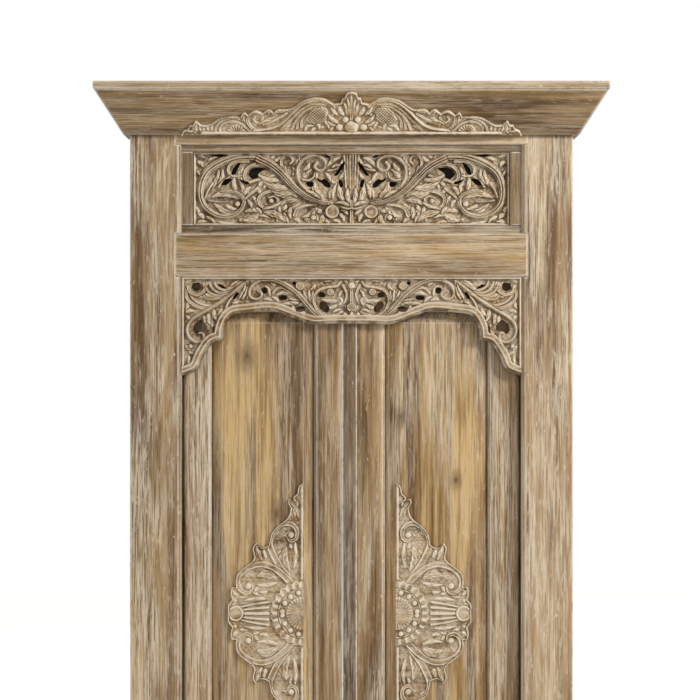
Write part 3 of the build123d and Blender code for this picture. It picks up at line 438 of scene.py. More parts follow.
strip_work.to_mesh(strip_mesh)
strip_work.free()
strip = bpy.data.objects.new("meeting_strip_planed", strip_mesh)
bpy.context.collection.objects.link(strip)
# The strip's darker, greyer tones: partly its own greyer wood, partly painted shade for its bevelled
# left flank.
strip_tones_painted_shade = (shade(78, 58, 38), shade(122, 99, 74), shade(158, 134, 104))
strip_mesh.materials.append(teak("planed_strip_teak", "Z", (9.9, 4.2, 8.3), strip_tones_painted_shade, 0.55, 1.0))
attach(strip, "right_leaf")
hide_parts("meeting_strip")

stile_overrun = 0.0006
stile_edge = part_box("left_meeting_stile")[1].x
stile_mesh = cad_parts["left_meeting_stile"].data.copy()
for vertex in stile_mesh.vertices:
    if vertex.co.x > stile_edge - stile_overrun:
        vertex.co.x += stile_overrun
stile = bpy.data.objects.new("left_meeting_stile_planed", stile_mesh)
bpy.context.collection.objects.link(stile)
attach(stile, "left_leaf")
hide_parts("left_meeting_stile")

# The bolt on the back: a teak bar with a knob, two bridges and a keeper, oiled and handled.
bolt_tones = (shade(80, 56, 34), shade(122, 90, 58), shade(156, 120, 82))
finish("slide_bolt", "X", (0.7, 0.1, 0.9), bolt_tones, 0.1)
finish("bolt_guides", "Z", (1.7, 0.1, 0.9), bolt_tones, 0.2)
finish("bolt_keeper", "Z", (2.7, 0.1, 0.9), bolt_tones, 0.2)

# The pierced transom panel: one board sawn through between the scrolls and carved with
# gouges. Each motif is laid on a fine grid of heights, the later ones over the earlier,
# with a cut round each, as the carver sets one leaf in front of another.
# All lengths in the carving are in millimetres; u runs to the right and v up the board.
mm = 0.001


def ease(value):
    """A smooth rise from 0 to 1."""
    value = np.clip(value, 0, 1)
    return value * value * (3 - 2 * value)


def through(points, per_span=10):
    """A smooth line through chosen points, as many short steps."""
    points = np.asarray(points, float)
    ends = np.vstack([2 * points[0] - points[1], points, 2 * points[-1] - points[-2]])
    line = []
    for a, b, c, d in zip(ends[:-3], ends[1:-2], ends[2:-1], ends[3:]):
        for share in np.arange(per_span) / per_span:
            line.append(0.5 * (2 * b + (c - a) * share + (2 * a - 5 * b + 4 * c - d) * share**2
                + (3 * b - a - 3 * c + d) * share**3))
    line.append(points[-1])
    return np.array(line)


everywhere = (slice(None), slice(None))
# outlines run half a step of the grid past the middle line, so that it lies inside them
past_middle = 0.75


class Carving:
    """A board's face as heights on a grid. Each motif stands up to its own share of the rise."""

    def __init__(self, low, high, rise, step=1.5):
        self.u, self.v = np.meshgrid(
            np.arange(low[0], high[0] + step / 2, step),
            np.arange(low[1], high[1] + step / 2, step),
            indexing="ij",
        )
        self.rise = rise
        self.step = step
        # the ground keeps the shallow marks of the gouge
        ground_level, mark_depth = 1.0, 0.9
        across = np.sin(self.u * 0.42 + 2.2 * np.sin(self.v * 0.11))
        upward = np.sin(self.v * 0.37 + 1.7 * np.sin(self.u * 0.07))
        self.height = ground_level + mark_depth * across * upward

    def window(self, points, margin):
        """The part of the grid round some points."""
        points = np.asarray(points)
        corner = [self.u[0, 0], self.v[0, 0]]
        first = np.floor((points.min(0) - margin - corner) / self.step).astype(int)
        last = np.ceil((points.max(0) + margin - corner) / self.step).astype(int) + 1
        first = np.maximum(first, 0)
        return slice(first[0], max(last[0], 0)), slice(first[1], max(last[1], 0))

    def lay(self, where, inside, height):
        """Sets a motif over what is there: a V-cut round it, then its own surface."""
        cut, cut_width, shoulder = 0.62, 2.4, 1.7
        under = self.height[where]
        under = under * (1 - cut * ease(1 + inside / cut_width) * (inside < 0))
        own = ease(inside / shoulder)
        self.height[where] = np.where(inside > 0, under * (1 - cut) * (1 - own) + height * own, under)

    def nearest(self, where, line):
        """For each point: its share of the way along a line, how far it lies to the left,
        how far past the ends, and how far away."""
        u, v = self.u[where], self.v[where]
        best = np.full(u.shape, np.inf)
        spot = np.zeros(u.shape, int)
        for number, (x, y) in enumerate(line):
            gap = (u - x) ** 2 + (v - y) ** 2
            closer = gap < best
            best = np.where(closer, gap, best)
            spot = np.where(closer, number, spot)
        way = np.gradient(line, axis=0)
        way /= np.maximum(np.linalg.norm(way, axis=1, keepdims=True), 1e-9)
        off_u, off_v = u - line[spot, 0], v - line[spot, 1]
        side = way[spot, 0] * off_v - way[spot, 1] * off_u
        beyond = way[spot, 0] * off_u + way[spot, 1] * off_v
        past_end = np.where(spot == 0, -beyond, np.where(spot == len(line) - 1, beyond, 0))
        return spot / (len(line) - 1), side, np.maximum(past_end, 0), np.sqrt(best)

    def band(self, line, start_width, end_width, full=1, channels=1):
        """A scroll or stem: channels between sharp rims along a line, or a round rod with none.
        A list of points is drawn as a smooth line."""
        if isinstance(line, list):
            line = through(line)
        where = self.window(line, max(start_width, end_width) + 4)
        share, side, _, gap = self.nearest(where, line)
        half = (start_width + (end_width - start_width) * share) / 2
        across = np.clip(side / half, -1, 1)
        if channels:
            rims = np.abs(np.cos(math.pi * channels * (across + 1) / 2)) ** 3.2
            surface = 0.42 + 0.58 * rims
        else:
            surface = 0.45 + 0.55 * np.sqrt(1 - 0.92 * across**2)
        self.lay(where, half - gap, self.rise * full * surface)

    def leaf(self, base, tip, bow, width, full=1, lobes=3, notch=0.16):
        """A leaf with raised edges and midrib and a lobed outline, bowed to the left of its way."""
        base, tip = np.asarray(base, float), np.asarray(tip, float)
        way = tip - base
        left = np.array([-way[1], way[0]]) / np.linalg.norm(way)
        line = through([base, base + way * 0.5 + left * bow, tip], 14)
        where = self.window(line, width + 3)
        share, side, past, gap = self.nearest(where, line)
        swell = np.sin(math.pi * np.clip(share, 0, 1) ** 0.75) ** 0.8
        edge = 1 - notch * (0.5 + 0.5 * np.cos(2 * math.pi * lobes * share)) * (share > 0.08)
        half = np.maximum(width / 2 * swell * edge, 0.6)
        across = np.clip(np.abs(side) / half, 0, 1)
        rims = 0.52 * across**2.5
        midrib = 0.34 * np.exp(-((side / 1.9) ** 2)) * (share < 0.92)
        veins = 0.08 * np.cos(2 * math.pi * (lobes * share - 0.9 * across) + math.pi)
        surface = (0.44 + rims + midrib + veins) * (0.82 + 0.18 * np.sin(math.pi * share))
        inside = half - np.maximum(gap, past * 1.5)
        self.lay(where, inside, self.rise * full * np.minimum(surface, 1))

    def leaves(self, *rows, **common):
        """Leaves in turn, each row holding the u and v of its base and tip, its bow and width."""
        for base_u, base_v, tip_u, tip_v, *rest in rows:
            self.leaf((base_u, base_v), (tip_u, tip_v), *rest, **common)

    def bead(self, centre, radius, full=1, ring=False):
        """A round bead or berry, or a boss with a raised ring."""
        where = self.window([centre], radius + 4)
        gap = np.hypot(self.u[where] - centre[0], self.v[where] - centre[1])
        share = np.clip(gap / radius, 0, 1)
        surface = 0.35 + 0.65 * np.sqrt(1 - share**2 * 0.95)
        if ring:
            surface = 0.50 + 0.50 * np.exp(-(((share - 0.86) / 0.13) ** 2)) + 0.12 * (1 - share)
        self.lay(where, radius - gap, self.rise * full * surface)

    def fan(self, centre, inner, outer, start, end, flutes, full=1):
        """A shell: flutes that spread from a centre, scalloped along their ends."""
        where = self.window([np.asarray(centre) - outer, np.asarray(centre) + outer], 4)
        off_u, off_v = self.u[where] - centre[0], self.v[where] - centre[1]
        gap = np.hypot(off_u, off_v)
        angle = (np.degrees(np.arctan2(off_v, off_u)) - start) % 360
        share = angle / (end - start)
        wave = np.abs(np.sin(math.pi * flutes * share))
        reach = outer * (0.88 + 0.12 * wave)
        beside = np.minimum(angle, end - start - angle) * math.pi / 180 * gap
        inside = np.minimum(np.minimum(reach - gap, gap - inner), np.where(share <= 1, beside, -5))
        spread = np.clip((gap - inner) / (outer - inner), 0, 1)
        surface = (0.35 + 0.65 * (1 - wave) ** 0.8) * (0.72 + 0.28 * spread)
        self.lay(where, inside, self.rise * full * surface)


def lobed(start, *lobes):
    """The sawn edge of a board from lobe to lobe, each a smooth line from the last one's end."""
    edge = []
    for lobe in lobes:
        edge.append(through([start, *lobe])[:-1])
        start = lobe[-1]
    return np.vstack([*edge, [start]])


def distance_inside(u, v, outline):
    """The distance to a closed outline, positive inside it."""
    outline = np.asarray(outline, float)
    best = np.full(u.shape, np.inf)
    within = np.zeros(u.shape, bool)
    for (x1, y1), (x2, y2) in zip(outline, np.roll(outline, -1, axis=0)):
        run_x, run_y = x2 - x1, y2 - y1
        share = np.clip(((u - x1) * run_x + (v - y1) * run_y) / max(run_x**2 + run_y**2, 1e-9), 0, 1)
        best = np.minimum(best, np.hypot(u - x1 - share * run_x, v - y1 - share * run_y))
        if y1 != y2:
            crosses = ((v >= y1) != (v >= y2)) & (u < x1 + (v - y1) * run_x / (y2 - y1))
            within ^= crosses
    return np.where(within, best, -best)


def blurred(values, reach):
    """Values averaged over a square, twice, to tell ridges from hollows."""
    for _ in range(2):
        for axis in (0, 1):
            padded = np.concatenate([
                np.repeat(values.take([0], axis), reach, axis), values,
                np.repeat(values.take([-1], axis), reach + 1, axis),
            ], axis)
            total = np.cumsum(padded, axis)
            width = 2 * reach + 1
            count = values.shape[axis]
            values = (total.take(np.arange(width, width + count), axis)
                - total.take(np.arange(count), axis)) / width
    return values


def mirrored(half, about_foot=False):
    """The whole board from the half that was cut: its right half, or below its foot line."""
    whole = copy.copy(half)
    for label in ("u", "v", "height", "inside"):
        values = getattr(half, label)
        sign = -1 if label == ("v" if about_foot else "u") else 1
        if about_foot:
            values = np.concatenate([sign * values[:, :0:-1], values], 1)
        else:
            values = np.concatenate([values, sign * values[-2::-1]], 0)
        setattr(whole, label, values)
    return whole


def sawn(carving, openings):
    """How deep inside the sawn openings each point lies, negative outside them."""
    inside = np.full_like(carving.u, -50.0)
    for shape in openings:
        line = through(np.array([*shape, shape[0], shape[1]], float), 4)[:-4]
        for hand in (1, -1):
            inside = np.maximum(inside, distance_inside(carving.u, carving.v, line * [hand, 1]))
    return inside


def carved_board(name, carving, thickness, origin, openings=(), across=(1, 0, 0),
        upward=(0, 0, 1), out=(0, -1, 0)):
    """Makes the carved face a closed board: the face, its sawn edges and a flat back."""
    edge_spare = 0.4
    solid = np.minimum(carving.inside + edge_spare, -sawn(carving, openings))
    kept = (solid[:-1, :-1] + solid[1:, :-1] + solid[:-1, 1:] + solid[1:, 1:]) > 0
    columns, rows = solid.shape
    numbers = np.arange(columns * rows).reshape(columns, rows)
    corners = [numbers[:-1, :-1], numbers[1:, :-1], numbers[1:, 1:], numbers[:-1, 1:]]
    quads = np.stack([corner[kept] for corner in corners], 1)
    used = np.zeros(columns * rows, bool)
    used[quads.ravel()] = True
    touched = np.zeros((columns + 1, rows + 1), int)
    touched[1:-1, 1:-1] = kept
    around = touched[:-1, :-1] + touched[1:, :-1] + touched[:-1, 1:] + touched[1:, 1:]
    rim = (around < 4).ravel() & used
    slope_u, slope_v = np.gradient(solid, carving.step)
    steep = np.maximum(slope_u**2 + slope_v**2, 0.05)
    most = 0.8 * carving.step
    shift_u = np.clip(-solid * slope_u / steep, -most, most)
    shift_v = np.clip(-solid * slope_v / steep, -most, most)
    u = carving.u + np.where(rim.reshape(solid.shape), shift_u, 0)
    v = carving.v + np.where(rim.reshape(solid.shape), shift_v, 0)
    depth = thickness - carving.rise + carving.height
    flat = np.stack([u.ravel(), v.ravel(), depth.ravel()], 1)[used]
    relief = (carving.height - blurred(carving.height, 3)).ravel()[used]
    level = carving.height.ravel()[used]
    renumbered = np.cumsum(used) - 1
    mesh = bpy.data.meshes.new(name)
    axes = np.array([across, upward, out], float)
    mesh.from_pydata((np.asarray(origin) + flat * mm @ axes).tolist(), [], renumbered[quads].tolist())
    for label, values in (("relief", relief), ("level", level)):
        layer = mesh.attributes.new(label, "FLOAT", "POINT")
        layer.data.foreach_set("value", values.astype(np.float32))
    board = bpy.data.objects.new(name, mesh)
    bpy.context.collection.objects.link(board)
    work = bmesh.new()
    work.from_mesh(mesh)
    edges = [edge for edge in work.edges if edge.is_boundary]
    sides = bmesh.ops.extrude_edge_only(work, edges=edges)["geom"]
    back_points = [item for item in sides if isinstance(item, bmesh.types.BMVert)]
    back_edges = [item for item in sides if isinstance(item, bmesh.types.BMEdge) and item.is_boundary]
    out_way = Vector(out)
    for point in back_points:
        point.co -= out_way * (point.co - Vector(origin)).dot(out_way)
    bmesh.ops.triangle_fill(work, edges=back_edges, use_beauty=False, normal=-out_way)
    bmesh.ops.recalc_face_normals(work, faces=work.faces)
    work.to_mesh(mesh)
    work.free()
    for face in mesh.polygons:
        face.use_smooth = True
    bpy.ops.object.select_all(action="DESELECT")
    board.select_set(True)
    bpy.context.view_layer.objects.active = board
    bpy.ops.object.shade_smooth_by_angle(angle=math.radians(50))
    return board


# The carved pieces' finish: white wash rubbed off the board and left on the ridges and
# rims, warm brown wood between them, and painted shade in dark brown in the cuts and on the deep ground.
carved_tones = (shade(112, 84, 50), shade(158, 128, 88), shade(190, 160, 116))


def carved_teak(name, shift, wash, depth):
    """Finish of a carved board: how much white is left on its ridges and how dark the painted shade in
    its cuts and hollows is.
    """
    material, put, here, cut, surface = cut_board(name, "X", shift, carved_tones, 0.5)
    tree = put.tree
    relief = tree.nodes.new("ShaderNodeAttribute")
    relief.attribute_name = "relief"
    level = tree.nodes.new("ShaderNodeAttribute")
    level.attribute_name = "level"
    patchy = put.noise(put.stretch(here, (36, 36, 36)), 4, 0.6)
    crest_mask = put.math(
        "MULTIPLY", put.step(relief.outputs["Fac"], 0.25, 1.35), put.step(patchy, 0.30, 0.52, 0.45, 1.0)
    )
    crest_mask = put.math("MULTIPLY", crest_mask, wash, clamp=True)
    thin_wash = put.math("MULTIPLY", put.step(patchy, 0.42, 0.62), 0.45 * wash)
    # painted shade: the hollows of the relief and the low ground darken towards dark brown
    hollow_shade = put.step(relief.outputs["Fac"], -0.1, -1.3)
    deep_ground_shade = put.step(level.outputs["Fac"], 2.0, 0.3, 0.0, 0.5)
    hollow_shade = put.math("MAXIMUM", hollow_shade, deep_ground_shade)
    colour = put.mix(put.math("MULTIPLY", hollow_shade, depth), cut.outputs["Color"], pore_brown_and_painted_shade)
    colour = put.mix(put.math("MAXIMUM", crest_mask, thin_wash), colour, wash_white)
    put.feed(surface, "Base Color", colour)
    surface.inputs["Roughness"].default_value = 0.75
    dent = tree.nodes.new("ShaderNodeBump")
    dent.inputs["Strength"].default_value = 0.3
    dent.inputs["Distance"].default_value = 0.001
    put.feed(dent, "Height", cut.outputs["Height"])
    put.feed(surface, "Normal", dent.outputs["Normal"])
    return material


fret_low, fret_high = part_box("transom_fretwork")
fret_half = fret_high.x / mm
fret_tall = (fret_high.z - fret_low.z) / mm / 2
fret_depth = (fret_high.y - fret_low.y) / mm
fret_rise = 11.0
fret = Carving((-432.0, -fret_tall), (0.0, fret_tall), fret_rise)
# small leaves and curls that fill the corners and the gaps, laid first
fret.leaves(
    (-424, 92, -398, 84, 3, 14), (-422, 76, -404, 58, 4, 14), (-423, 52, -412, 28, 3, 10),
    (-424, -46, -418, -74, 3, 12), (-420, -68, -402, -84, 4, 15), (-422, -92, -392, -90, 3, 13),
    (-398, -74, -372, -94, 4, 14), (-366, -88, -318, -92, -4, 13), (-308, -84, -286, -94, 4, 13),
    (-392, 78, -356, 90, 3, 13), (-424, 14, -419, -22, 2, 8), (-292, -62, -246, -66, 7, 15),
    (-284, -76, -216, -82, 9, 13), (-276, -90, -226, -93, 3, 11), (-262, -50, -244, -70, 3, 12),
    (-286, -28, -272, -54, 4, 13), (-270, -18, -258, -46, 3, 12), (-282, -4, -288, -26, 3, 11),
    (-254, 6, -236, 24, 3, 13), (-240, 2, -214, 26, 4, 13), (-226, 12, -196, 30, 4, 12),
    (-212, -58, -226, -76, 3, 16), (-198, -46, -206, -92, 5, 15), (-188, -72, -172, -94, 3, 14),
    (-178, -40, -180, -76, -4, 14), (-160, -78, -140, -94, 3, 14), (-134, -74, -116, -94, 4, 15),
    (-112, -66, -88, -92, 4, 16), (-86, -78, -60, -94, 3, 14), (-54, -84, -28, -94, 3, 12),
    (-148, 88, -122, 94, 2, 10), (-60, 84, -30, 93, -3, 13), (-74, 88, -48, 94, 2, 9),
    (-34, -66, -20, -92, 4, 13), (-28, -56, -8, -72, 3, 13), (-232, 84, -206, 94, -3, 12),
    (-214, 74, -188, 94, -3, 13), (-160, 60, -140, 90, -3, 12), (-246, -14, -258, 12, 3, 12),
    full=0.72,
)
# inside the great scroll: the half-closed leaf, the small leaves under it and the stalk
fret.leaves((-386, 2, -362, 58, -9, 16, 0.8), (-364, 12, -352, 58, -6, 14, 0.85))
fret.band([(-378, 16), (-390, -2), (-399, -24)], 7, 5, 0.85, 0)
fret.leaves(
    (-376, -38, -330, -60, -6, 14, 0.8), (-346, -42, -308, -56, -3, 13, 0.8),
    (-366, -52, -330, -70, -3, 11, 0.7),
)
fret.bead((-311, -41), 8, 0.95)
fret.leaf((-297, -24), (-388, -25), -14, 24, 0.85, 4, 0.1)
fret.band([(-388, -31), (-364, -35), (-340, -35)], 6, 4, 1, 0)
fret.leaves(
    (-316, -6, -319, 36, 3, 15, 0.9, 2), (-296, -14, -308, 24, -5, 13, 0.85, 2),
    (-292, -18, -272, 8, 5, 14, 0.8),
)
# the great round scroll, which comes down from the main stem and winds in
great_scroll = [(-236, 84), (-262, 91), (-296, 91), (-330, 84), (-366, 68), (-392, 49), (-406, 26),
    (-412, 0), (-411, -22), (-404, -42), (-390, -58), (-371, -70), (-349, -75), (-326, -72), (-308, -62),
    (-297, -47), (-293, -32), (-300, -19), (-316, -10), (-336, -6), (-354, -6)]
fret.band(great_scroll, 27, 9, 1, 3)
# the two hooked leaves that hang in it, round the sawn openings
fret.leaf((-295, 14), (-296, 62), 6, 22, 0.75, 2, 0.08)
fret.band([(-282, 76), (-310, 76), (-329, 68), (-336, 54), (-332, 40), (-316, 35), (-300, 37)],
    11, 6)
fret.band([(-332, 34), (-350, 22), (-362, 6)], 5, 7, 0.9, 0)
fret.band([(-206, 44), (-226, 60), (-252, 68), (-276, 62), (-290, 46), (-290, 28), (-278, 19),
    (-262, 24), (-238, 28), (-212, 38)], 12, 8)
# the low scroll between the great one and the round one
fret.band([(-150, -18), (-172, -6), (-196, -4), (-222, -6), (-246, -16), (-254, -32), (-244, -48),
    (-224, -50), (-206, -42), (-200, -28), (-212, -20), (-226, -24)], 12, 6)
fret.bead((-219, -32), 7, 0.8)
fret.leaf((-246, -56), (-176, -24), -6, 11, 0.9)
fret.band([(-290, -28), (-276, -14), (-256, 2)], 7, 10, 0.9)
# broad leaves that fill the field between the scrolls
fret.leaves(
    (-158, -14, -226, 6, 9, 24), (-168, 2, -250, 30, 10, 22), (-196, 24, -262, 44, 8, 16),
    (-148, -30, -196, -46, -8, 20), (-252, -70, -300, -86, 6, 20), (-240, -62, -176, -92, 8, 22),
    (-140, -40, -186, -62, 7, 20), (-80, -62, -120, -66, -6, 18), (-78, -70, -92, -94, 5, 18),
    full=0.78, lobes=4, notch=0.2,
)
# leaves that spring from the main stem on its upper side
fret.leaf((-178, 26), (-181, 66), 4, 19, 0.85, 2)
fret.band([(-186, 50), (-192, 74), (-184, 90), (-168, 91), (-160, 78), (-168, 68)], 9, 6, 0.9)
fret.leaves(
    (-160, 36, -148, 86, -5, 15, 0.85), (-138, -4, -166, 66, -9, 15, 0.9),
    (-128, -12, -156, 50, -8, 12, 0.95, 2),
)
# the round scroll beside the palmette, with the leaf inside it
fret.leaves(
    (-132, 24, -106, 56, 5, 17, 0.8), (-132, 50, -114, 74, -4, 14, 0.8),
    (-96, 30, -92, 52, 2, 12, 0.8),
)
fret.band([(-134, 26), (-118, 24), (-104, 32), (-100, 44)], 7, 5, 0.95, 0)
fret.band([(-70, -34), (-104, -16), (-130, 4), (-146, 30), (-147, 58), (-134, 78), (-114, 89),
    (-94, 90), (-76, 80), (-70, 64), (-80, 52), (-94, 52), (-101, 62), (-95, 72)], 14, 10, 1, 2)
# leaves between the round scroll and the palmette
fret.leaves(
    (-76, -24, -101, 22, 10, 22, 0.8, 2, 0.06), (-84, -28, -130, -2, -4, 13, 0.9),
    (-66, 40, -40, 14, -5, 14, 0.85), (-72, 46, -56, 18, 3, 12, 0.85),
    (-68, 60, -26, 88, 5, 15, 0.85), (-70, 48, -15, 95, -12, 14, 0.95),
    (-56, 56, -26, 66, 4, 12, 0.85), (-34, 28, -20, 54, -4, 12, 0.85),
    (-60, -26, -50, 6, 3, 11, 0.85), (-52, -26, -39, 20, 3, 13, 0.9),
)
# the main stem, a bundle of reeds from the foot of the palmette out to the great scroll
fret.band([(-56, -40), (-84, -36), (-112, -27), (-138, -11), (-160, 8), (-180, 30), (-202, 52),
    (-224, 68), (-248, 80)], 12, 30, 1, 4)
# the lower leaves, the ring boss and the foot
fret.band([(-96, -42), (-124, -45), (-146, -54), (-155, -72)], 7, 13)
fret.leaves(
    (-164, -48, -166, -84, -3, 15, 0.9), (-92, -50, -140, -78, 6, 16, 0.85),
    (-100, -56, -120, -88, 3, 12, 0.8),
)
fret.bead((-104, -78), 8, 0.9)
fret.bead((-53, -62), 19, ring=True)
# the palmette of straight flutes with its leaf crown, on the middle line
for place in (-14, 0):
    fret.band([(place * 1.1, 92), (place, 50), (place * 0.8, 4)], 14, 13, 0.9)
fret.leaves(
    (-18, -44, -32, 28, 7, 17), (-3, -44, -10, 8, 5, 15), (-4, -46, -48, -38, -5, 13),
)
fret.band([(0, -96), (0, -60), (0, -32)], 11, 8)
fret.band([(-26, -50), (-10, -54), (0, -52)], 6, 6, 1, 0)
# the plain border, a flat with a rounded bead on its outer edge
fret.inside = np.minimum(fret_half - np.abs(fret.u), fret_tall - np.abs(fret.v))
border_width, bead_width = 7.0, 4.0
border_bead = 0.72 + 0.28 * np.cos((fret.inside - bead_width / 2) * 1.2)
border_height = fret_rise * np.where(fret.inside > bead_width, 0.5, border_bead)
fret.height = np.where(fret.inside < border_width, border_height, fret.height)
# the openings sawn right through, in the gaps of the scrolls
fret_openings = (
    [(-302, 74), (-312, 70), (-324, 56), (-328, 40), (-318, 40), (-310, 54)],
    [(-282, 41), (-275, 53), (-255, 60), (-235, 56), (-246, 48), (-254, 41), (-256, 32), (-270, 27)],
    [(-357, 11), (-350, 23), (-341, 28), (-327, 28), (-335, 16), (-343, 11)],
    [(-310, 28), (-296, 16), (-280, 14), (-282, 20), (-296, 24)],
    [(-384, 92), (-360, 95), (-336, 92), (-350, 88), (-372, 88)],
    [(-122, 20), (-106, 20), (-104, 8), (-116, 6), (-123, 12)],
    [(-94, 32), (-83, 25), (-73, 28), (-58, 14), (-59, 4), (-70, 6), (-82, 17), (-91, 22)],
    [(-18, 76), (-30, 66), (-38, 52), (-48, 38), (-38, 38), (-28, 52), (-20, 62)],
    [(-35, 26), (-26, 24), (-23, 8), (-30, 4), (-34, 14)],
    [(-78, 93), (-66, 93), (-56, 87), (-66, 86)],
)
fret_board = carved_board(
    "transom_carving", mirrored(fret), fret_depth,
    (0, fret_high.y, (fret_low.z + fret_high.z) / 2), fret_openings,
)
fret_board.data.materials.append(carved_teak("transom_carved_teak", (0.3, 0.7, 0.1), 0.8, 0.7))
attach(fret_board, "frame")
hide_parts("transom_fretwork")

# The lambrequin: a board scalloped along its foot, with a smooth band of mouldings along
# the scallops and carved leaves above it, pierced in the hollows.
drop_low, drop_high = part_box("lambrequin")
drop_half = drop_high.x / mm
drop_depth = (drop_high.y - drop_low.y) / mm
drop_rise = 9.0
drop = Carving((-462.0, (drop_low.z - drop_high.z) / mm), (0.0, 0.0), drop_rise)
scallop = np.vstack([
    through([(-461, -268), (-421, -250), (-402, -212), (-378, -178), (-349, -171)]),
    through([(-349, -171), (-346, -138), (-326, -104), (-286, -96), (-216, -91), (-162, -109),
        (-108, -127), (-54, -126), (0, -126)])[1:],
])
drop.leaves(
    (-452, -16, -430, -8, 2, 12), (-444, -64, -452, -92, 3, 12), (-452, -96, -424, -92, 3, 14),
    (-450, -104, -436, -122, 2, 11), (-392, -10, -404, -30, 3, 13), (-300, -20, -322, -40, 3, 12),
    (-452, -186, -438, -206, 3, 13), (-384, -104, -398, -116, 2, 12),
    (-362, -96, -372, -118, 3, 12), (-360, -134, -368, -152, 3, 11), (-314, -60, -330, -84, 3, 12),
    (-306, -66, -326, -70, 2, 10), (-240, -60, -212, -66, 3, 12), (-222, -14, -206, -26, 2, 11),
    (-216, -52, -196, -72, 3, 12), (-170, -10, -150, -8, 2, 9), (-128, -12, -106, -8, 2, 10),
    (-174, -82, -150, -96, 3, 12), (-150, -98, -118, -108, 3, 12), (-76, -12, -50, -12, 2, 10),
    (-22, -10, -8, -18, 2, 9), (-86, -104, -50, -112, 3, 11), (-18, -76, -10, -98, 2, 11),
    (-98, -18, -114, -36, 3, 12), full=0.68,
)
# the corner cup and the hooked leaves that lean away from it
drop.band([(-448, -34), (-446, -58), (-428, -75), (-404, -84), (-380, -86)], 8, 12, 0.9)
drop.band([(-438, -48), (-426, -62), (-408, -73), (-384, -78)], 7, 8, 0.9)
drop.leaf((-352, -60), (-420, -56), -9, 18, 0.85)
drop.band([(-443, -26), (-438, -40), (-420, -48), (-405, -42), (-397, -30), (-401, -18)], 11, 9)
drop.band([(-402, -50), (-390, -60), (-366, -58), (-344, -46)], 7, 8, 0.9)
drop.band([(-396, -28), (-385, -42), (-362, -50), (-338, -44)], 7, 8, 0.9)
drop.band([(-387, -13), (-378, -30), (-360, -42), (-334, -38)], 7, 8, 0.9)
drop.band([(-373, -8), (-367, -24), (-352, -34), (-330, -32)], 6, 8, 0.9)
drop.leaves((-338, -36, -288, -9, 4, 15, 0.85), (-330, -26, -300, -8, 3, 11, 0.8))
# leaves under the long stem
drop.leaves(
    (-352, -84, -370, -110, 3, 13, 0.85), (-374, -86, -361, -126, -4, 15, 0.85),
    (-388, -98, -385, -130, -3, 14, 0.85), (-402, -104, -401, -130, 3, 12, 0.8),
)
drop.band([(-386, -152), (-375, -142), (-378, -130)], 8, 6, 0.9)
drop.band([(-290, -18), (-308, -38), (-324, -54), (-337, -74), (-342, -92), (-352, -112), (-361, -130)],
    6, 8, 0.95, 0)
# the long stem, which ends in the scroll of the wing
drop.band([(-284, -12), (-308, -30), (-328, -47), (-350, -63), (-371, -77), (-392, -89), (-411, -100),
    (-430, -113), (-443, -128), (-447, -146), (-441, -163), (-427, -175), (-411, -176), (-401, -166),
    (-404, -154), (-414, -152)], 13, 8, 1, 2)
drop.band([(-440, -203), (-423, -214), (-430, -236), (-446, -248)], 7, 6, 0.9)
drop.leaf((-442, -212), (-445, -244), 2, 11, 0.8)
drop.bead((-437, -188), 6, 0.9)
# the fan of short leaves and the spiral above the arch
drop.leaves(
    (-306, -60, -286, -14, -3, 11), (-298, -62, -282, -22, -3, 10), (-284, -60, -276, -24, -3, 10),
    full=0.9,
)
drop.band([(-222, -8), (-246, -10), (-266, -19), (-277, -36), (-275, -53), (-260, -60), (-246, -53),
    (-245, -42), (-254, -38)], 13, 6, 1, 2)
drop.leaf((-236, -22), (-222, -54), 5, 12, 0.85)
# leaves below the stem that falls to the middle
drop.leaf((-158, -45), (-210, -51), -6, 15, 0.85)
drop.band([(-213, -43), (-201, -31), (-186, -29), (-166, -41), (-150, -50)], 8, 9, 0.95)
drop.leaves(
    (-132, -66, -172, -55, 4, 13, 0.9), (-128, -74, -194, -73, -3, 15, 0.9),
    (-140, -70, -170, -66, 2, 10, 0.85), (-160, -76, -150, -99, -3, 13, 0.95),
    (-122, -84, -90, -112, -2, 14, 0.9), (-144, -100, -124, -96, 3, 11, 0.8),
)
drop.bead((-197, -76), 6, 0.95)
drop.bead((-140, -24), 12, 0.9, ring=True)
# leaves above it
drop.leaves(
    (-113, -76, -132, -32, 2, 12), (-108, -78, -116, -28, 2, 11), (-104, -80, -104, -32, 2, 10),
    full=0.9,
)
drop.band([(-240, -7), (-216, -7), (-193, -14), (-173, -25), (-154, -38), (-137, -55), (-120, -75),
    (-103, -94), (-84, -108), (-66, -116)], 13, 21, 1, 3)
# the open scroll beside the middle, with a flower in it
drop.bead((-34, -66), 13, 0.8)
drop.leaves(
    (-30, -64, -86, -59, 4, 15, 0.85), (-36, -73, -72, -84, 4, 13, 0.85),
    (-26, -88, -54, -98, -3, 11, 0.85), (-34, -56, -22, -34, 3, 10, 0.8),
)
drop.bead((-57, -40), 10, 0.9, ring=True)
drop.band([(-28, -12), (-40, -24), (-62, -27), (-84, -33), (-98, -46), (-102, -64), (-96, -84),
    (-83, -98), (-64, -106), (-44, -103), (-26, -94)], 8, 9)
drop.band([(-23, -22), (-13, -44), (-15, -60), (-21, -72)], 8, 6, 0.95)
# the column on the middle line, its ball, boss and pendant
drop.band([(0, -6), (0, -40), (0, -74)], 10, 10)
drop.bead((0, -23), 10)
drop.bead((0, -82), 13, ring=True)
drop.bead((-18, -101), 6, 0.9)
drop.leaf((0, -92), (0, -118), 0, 11)
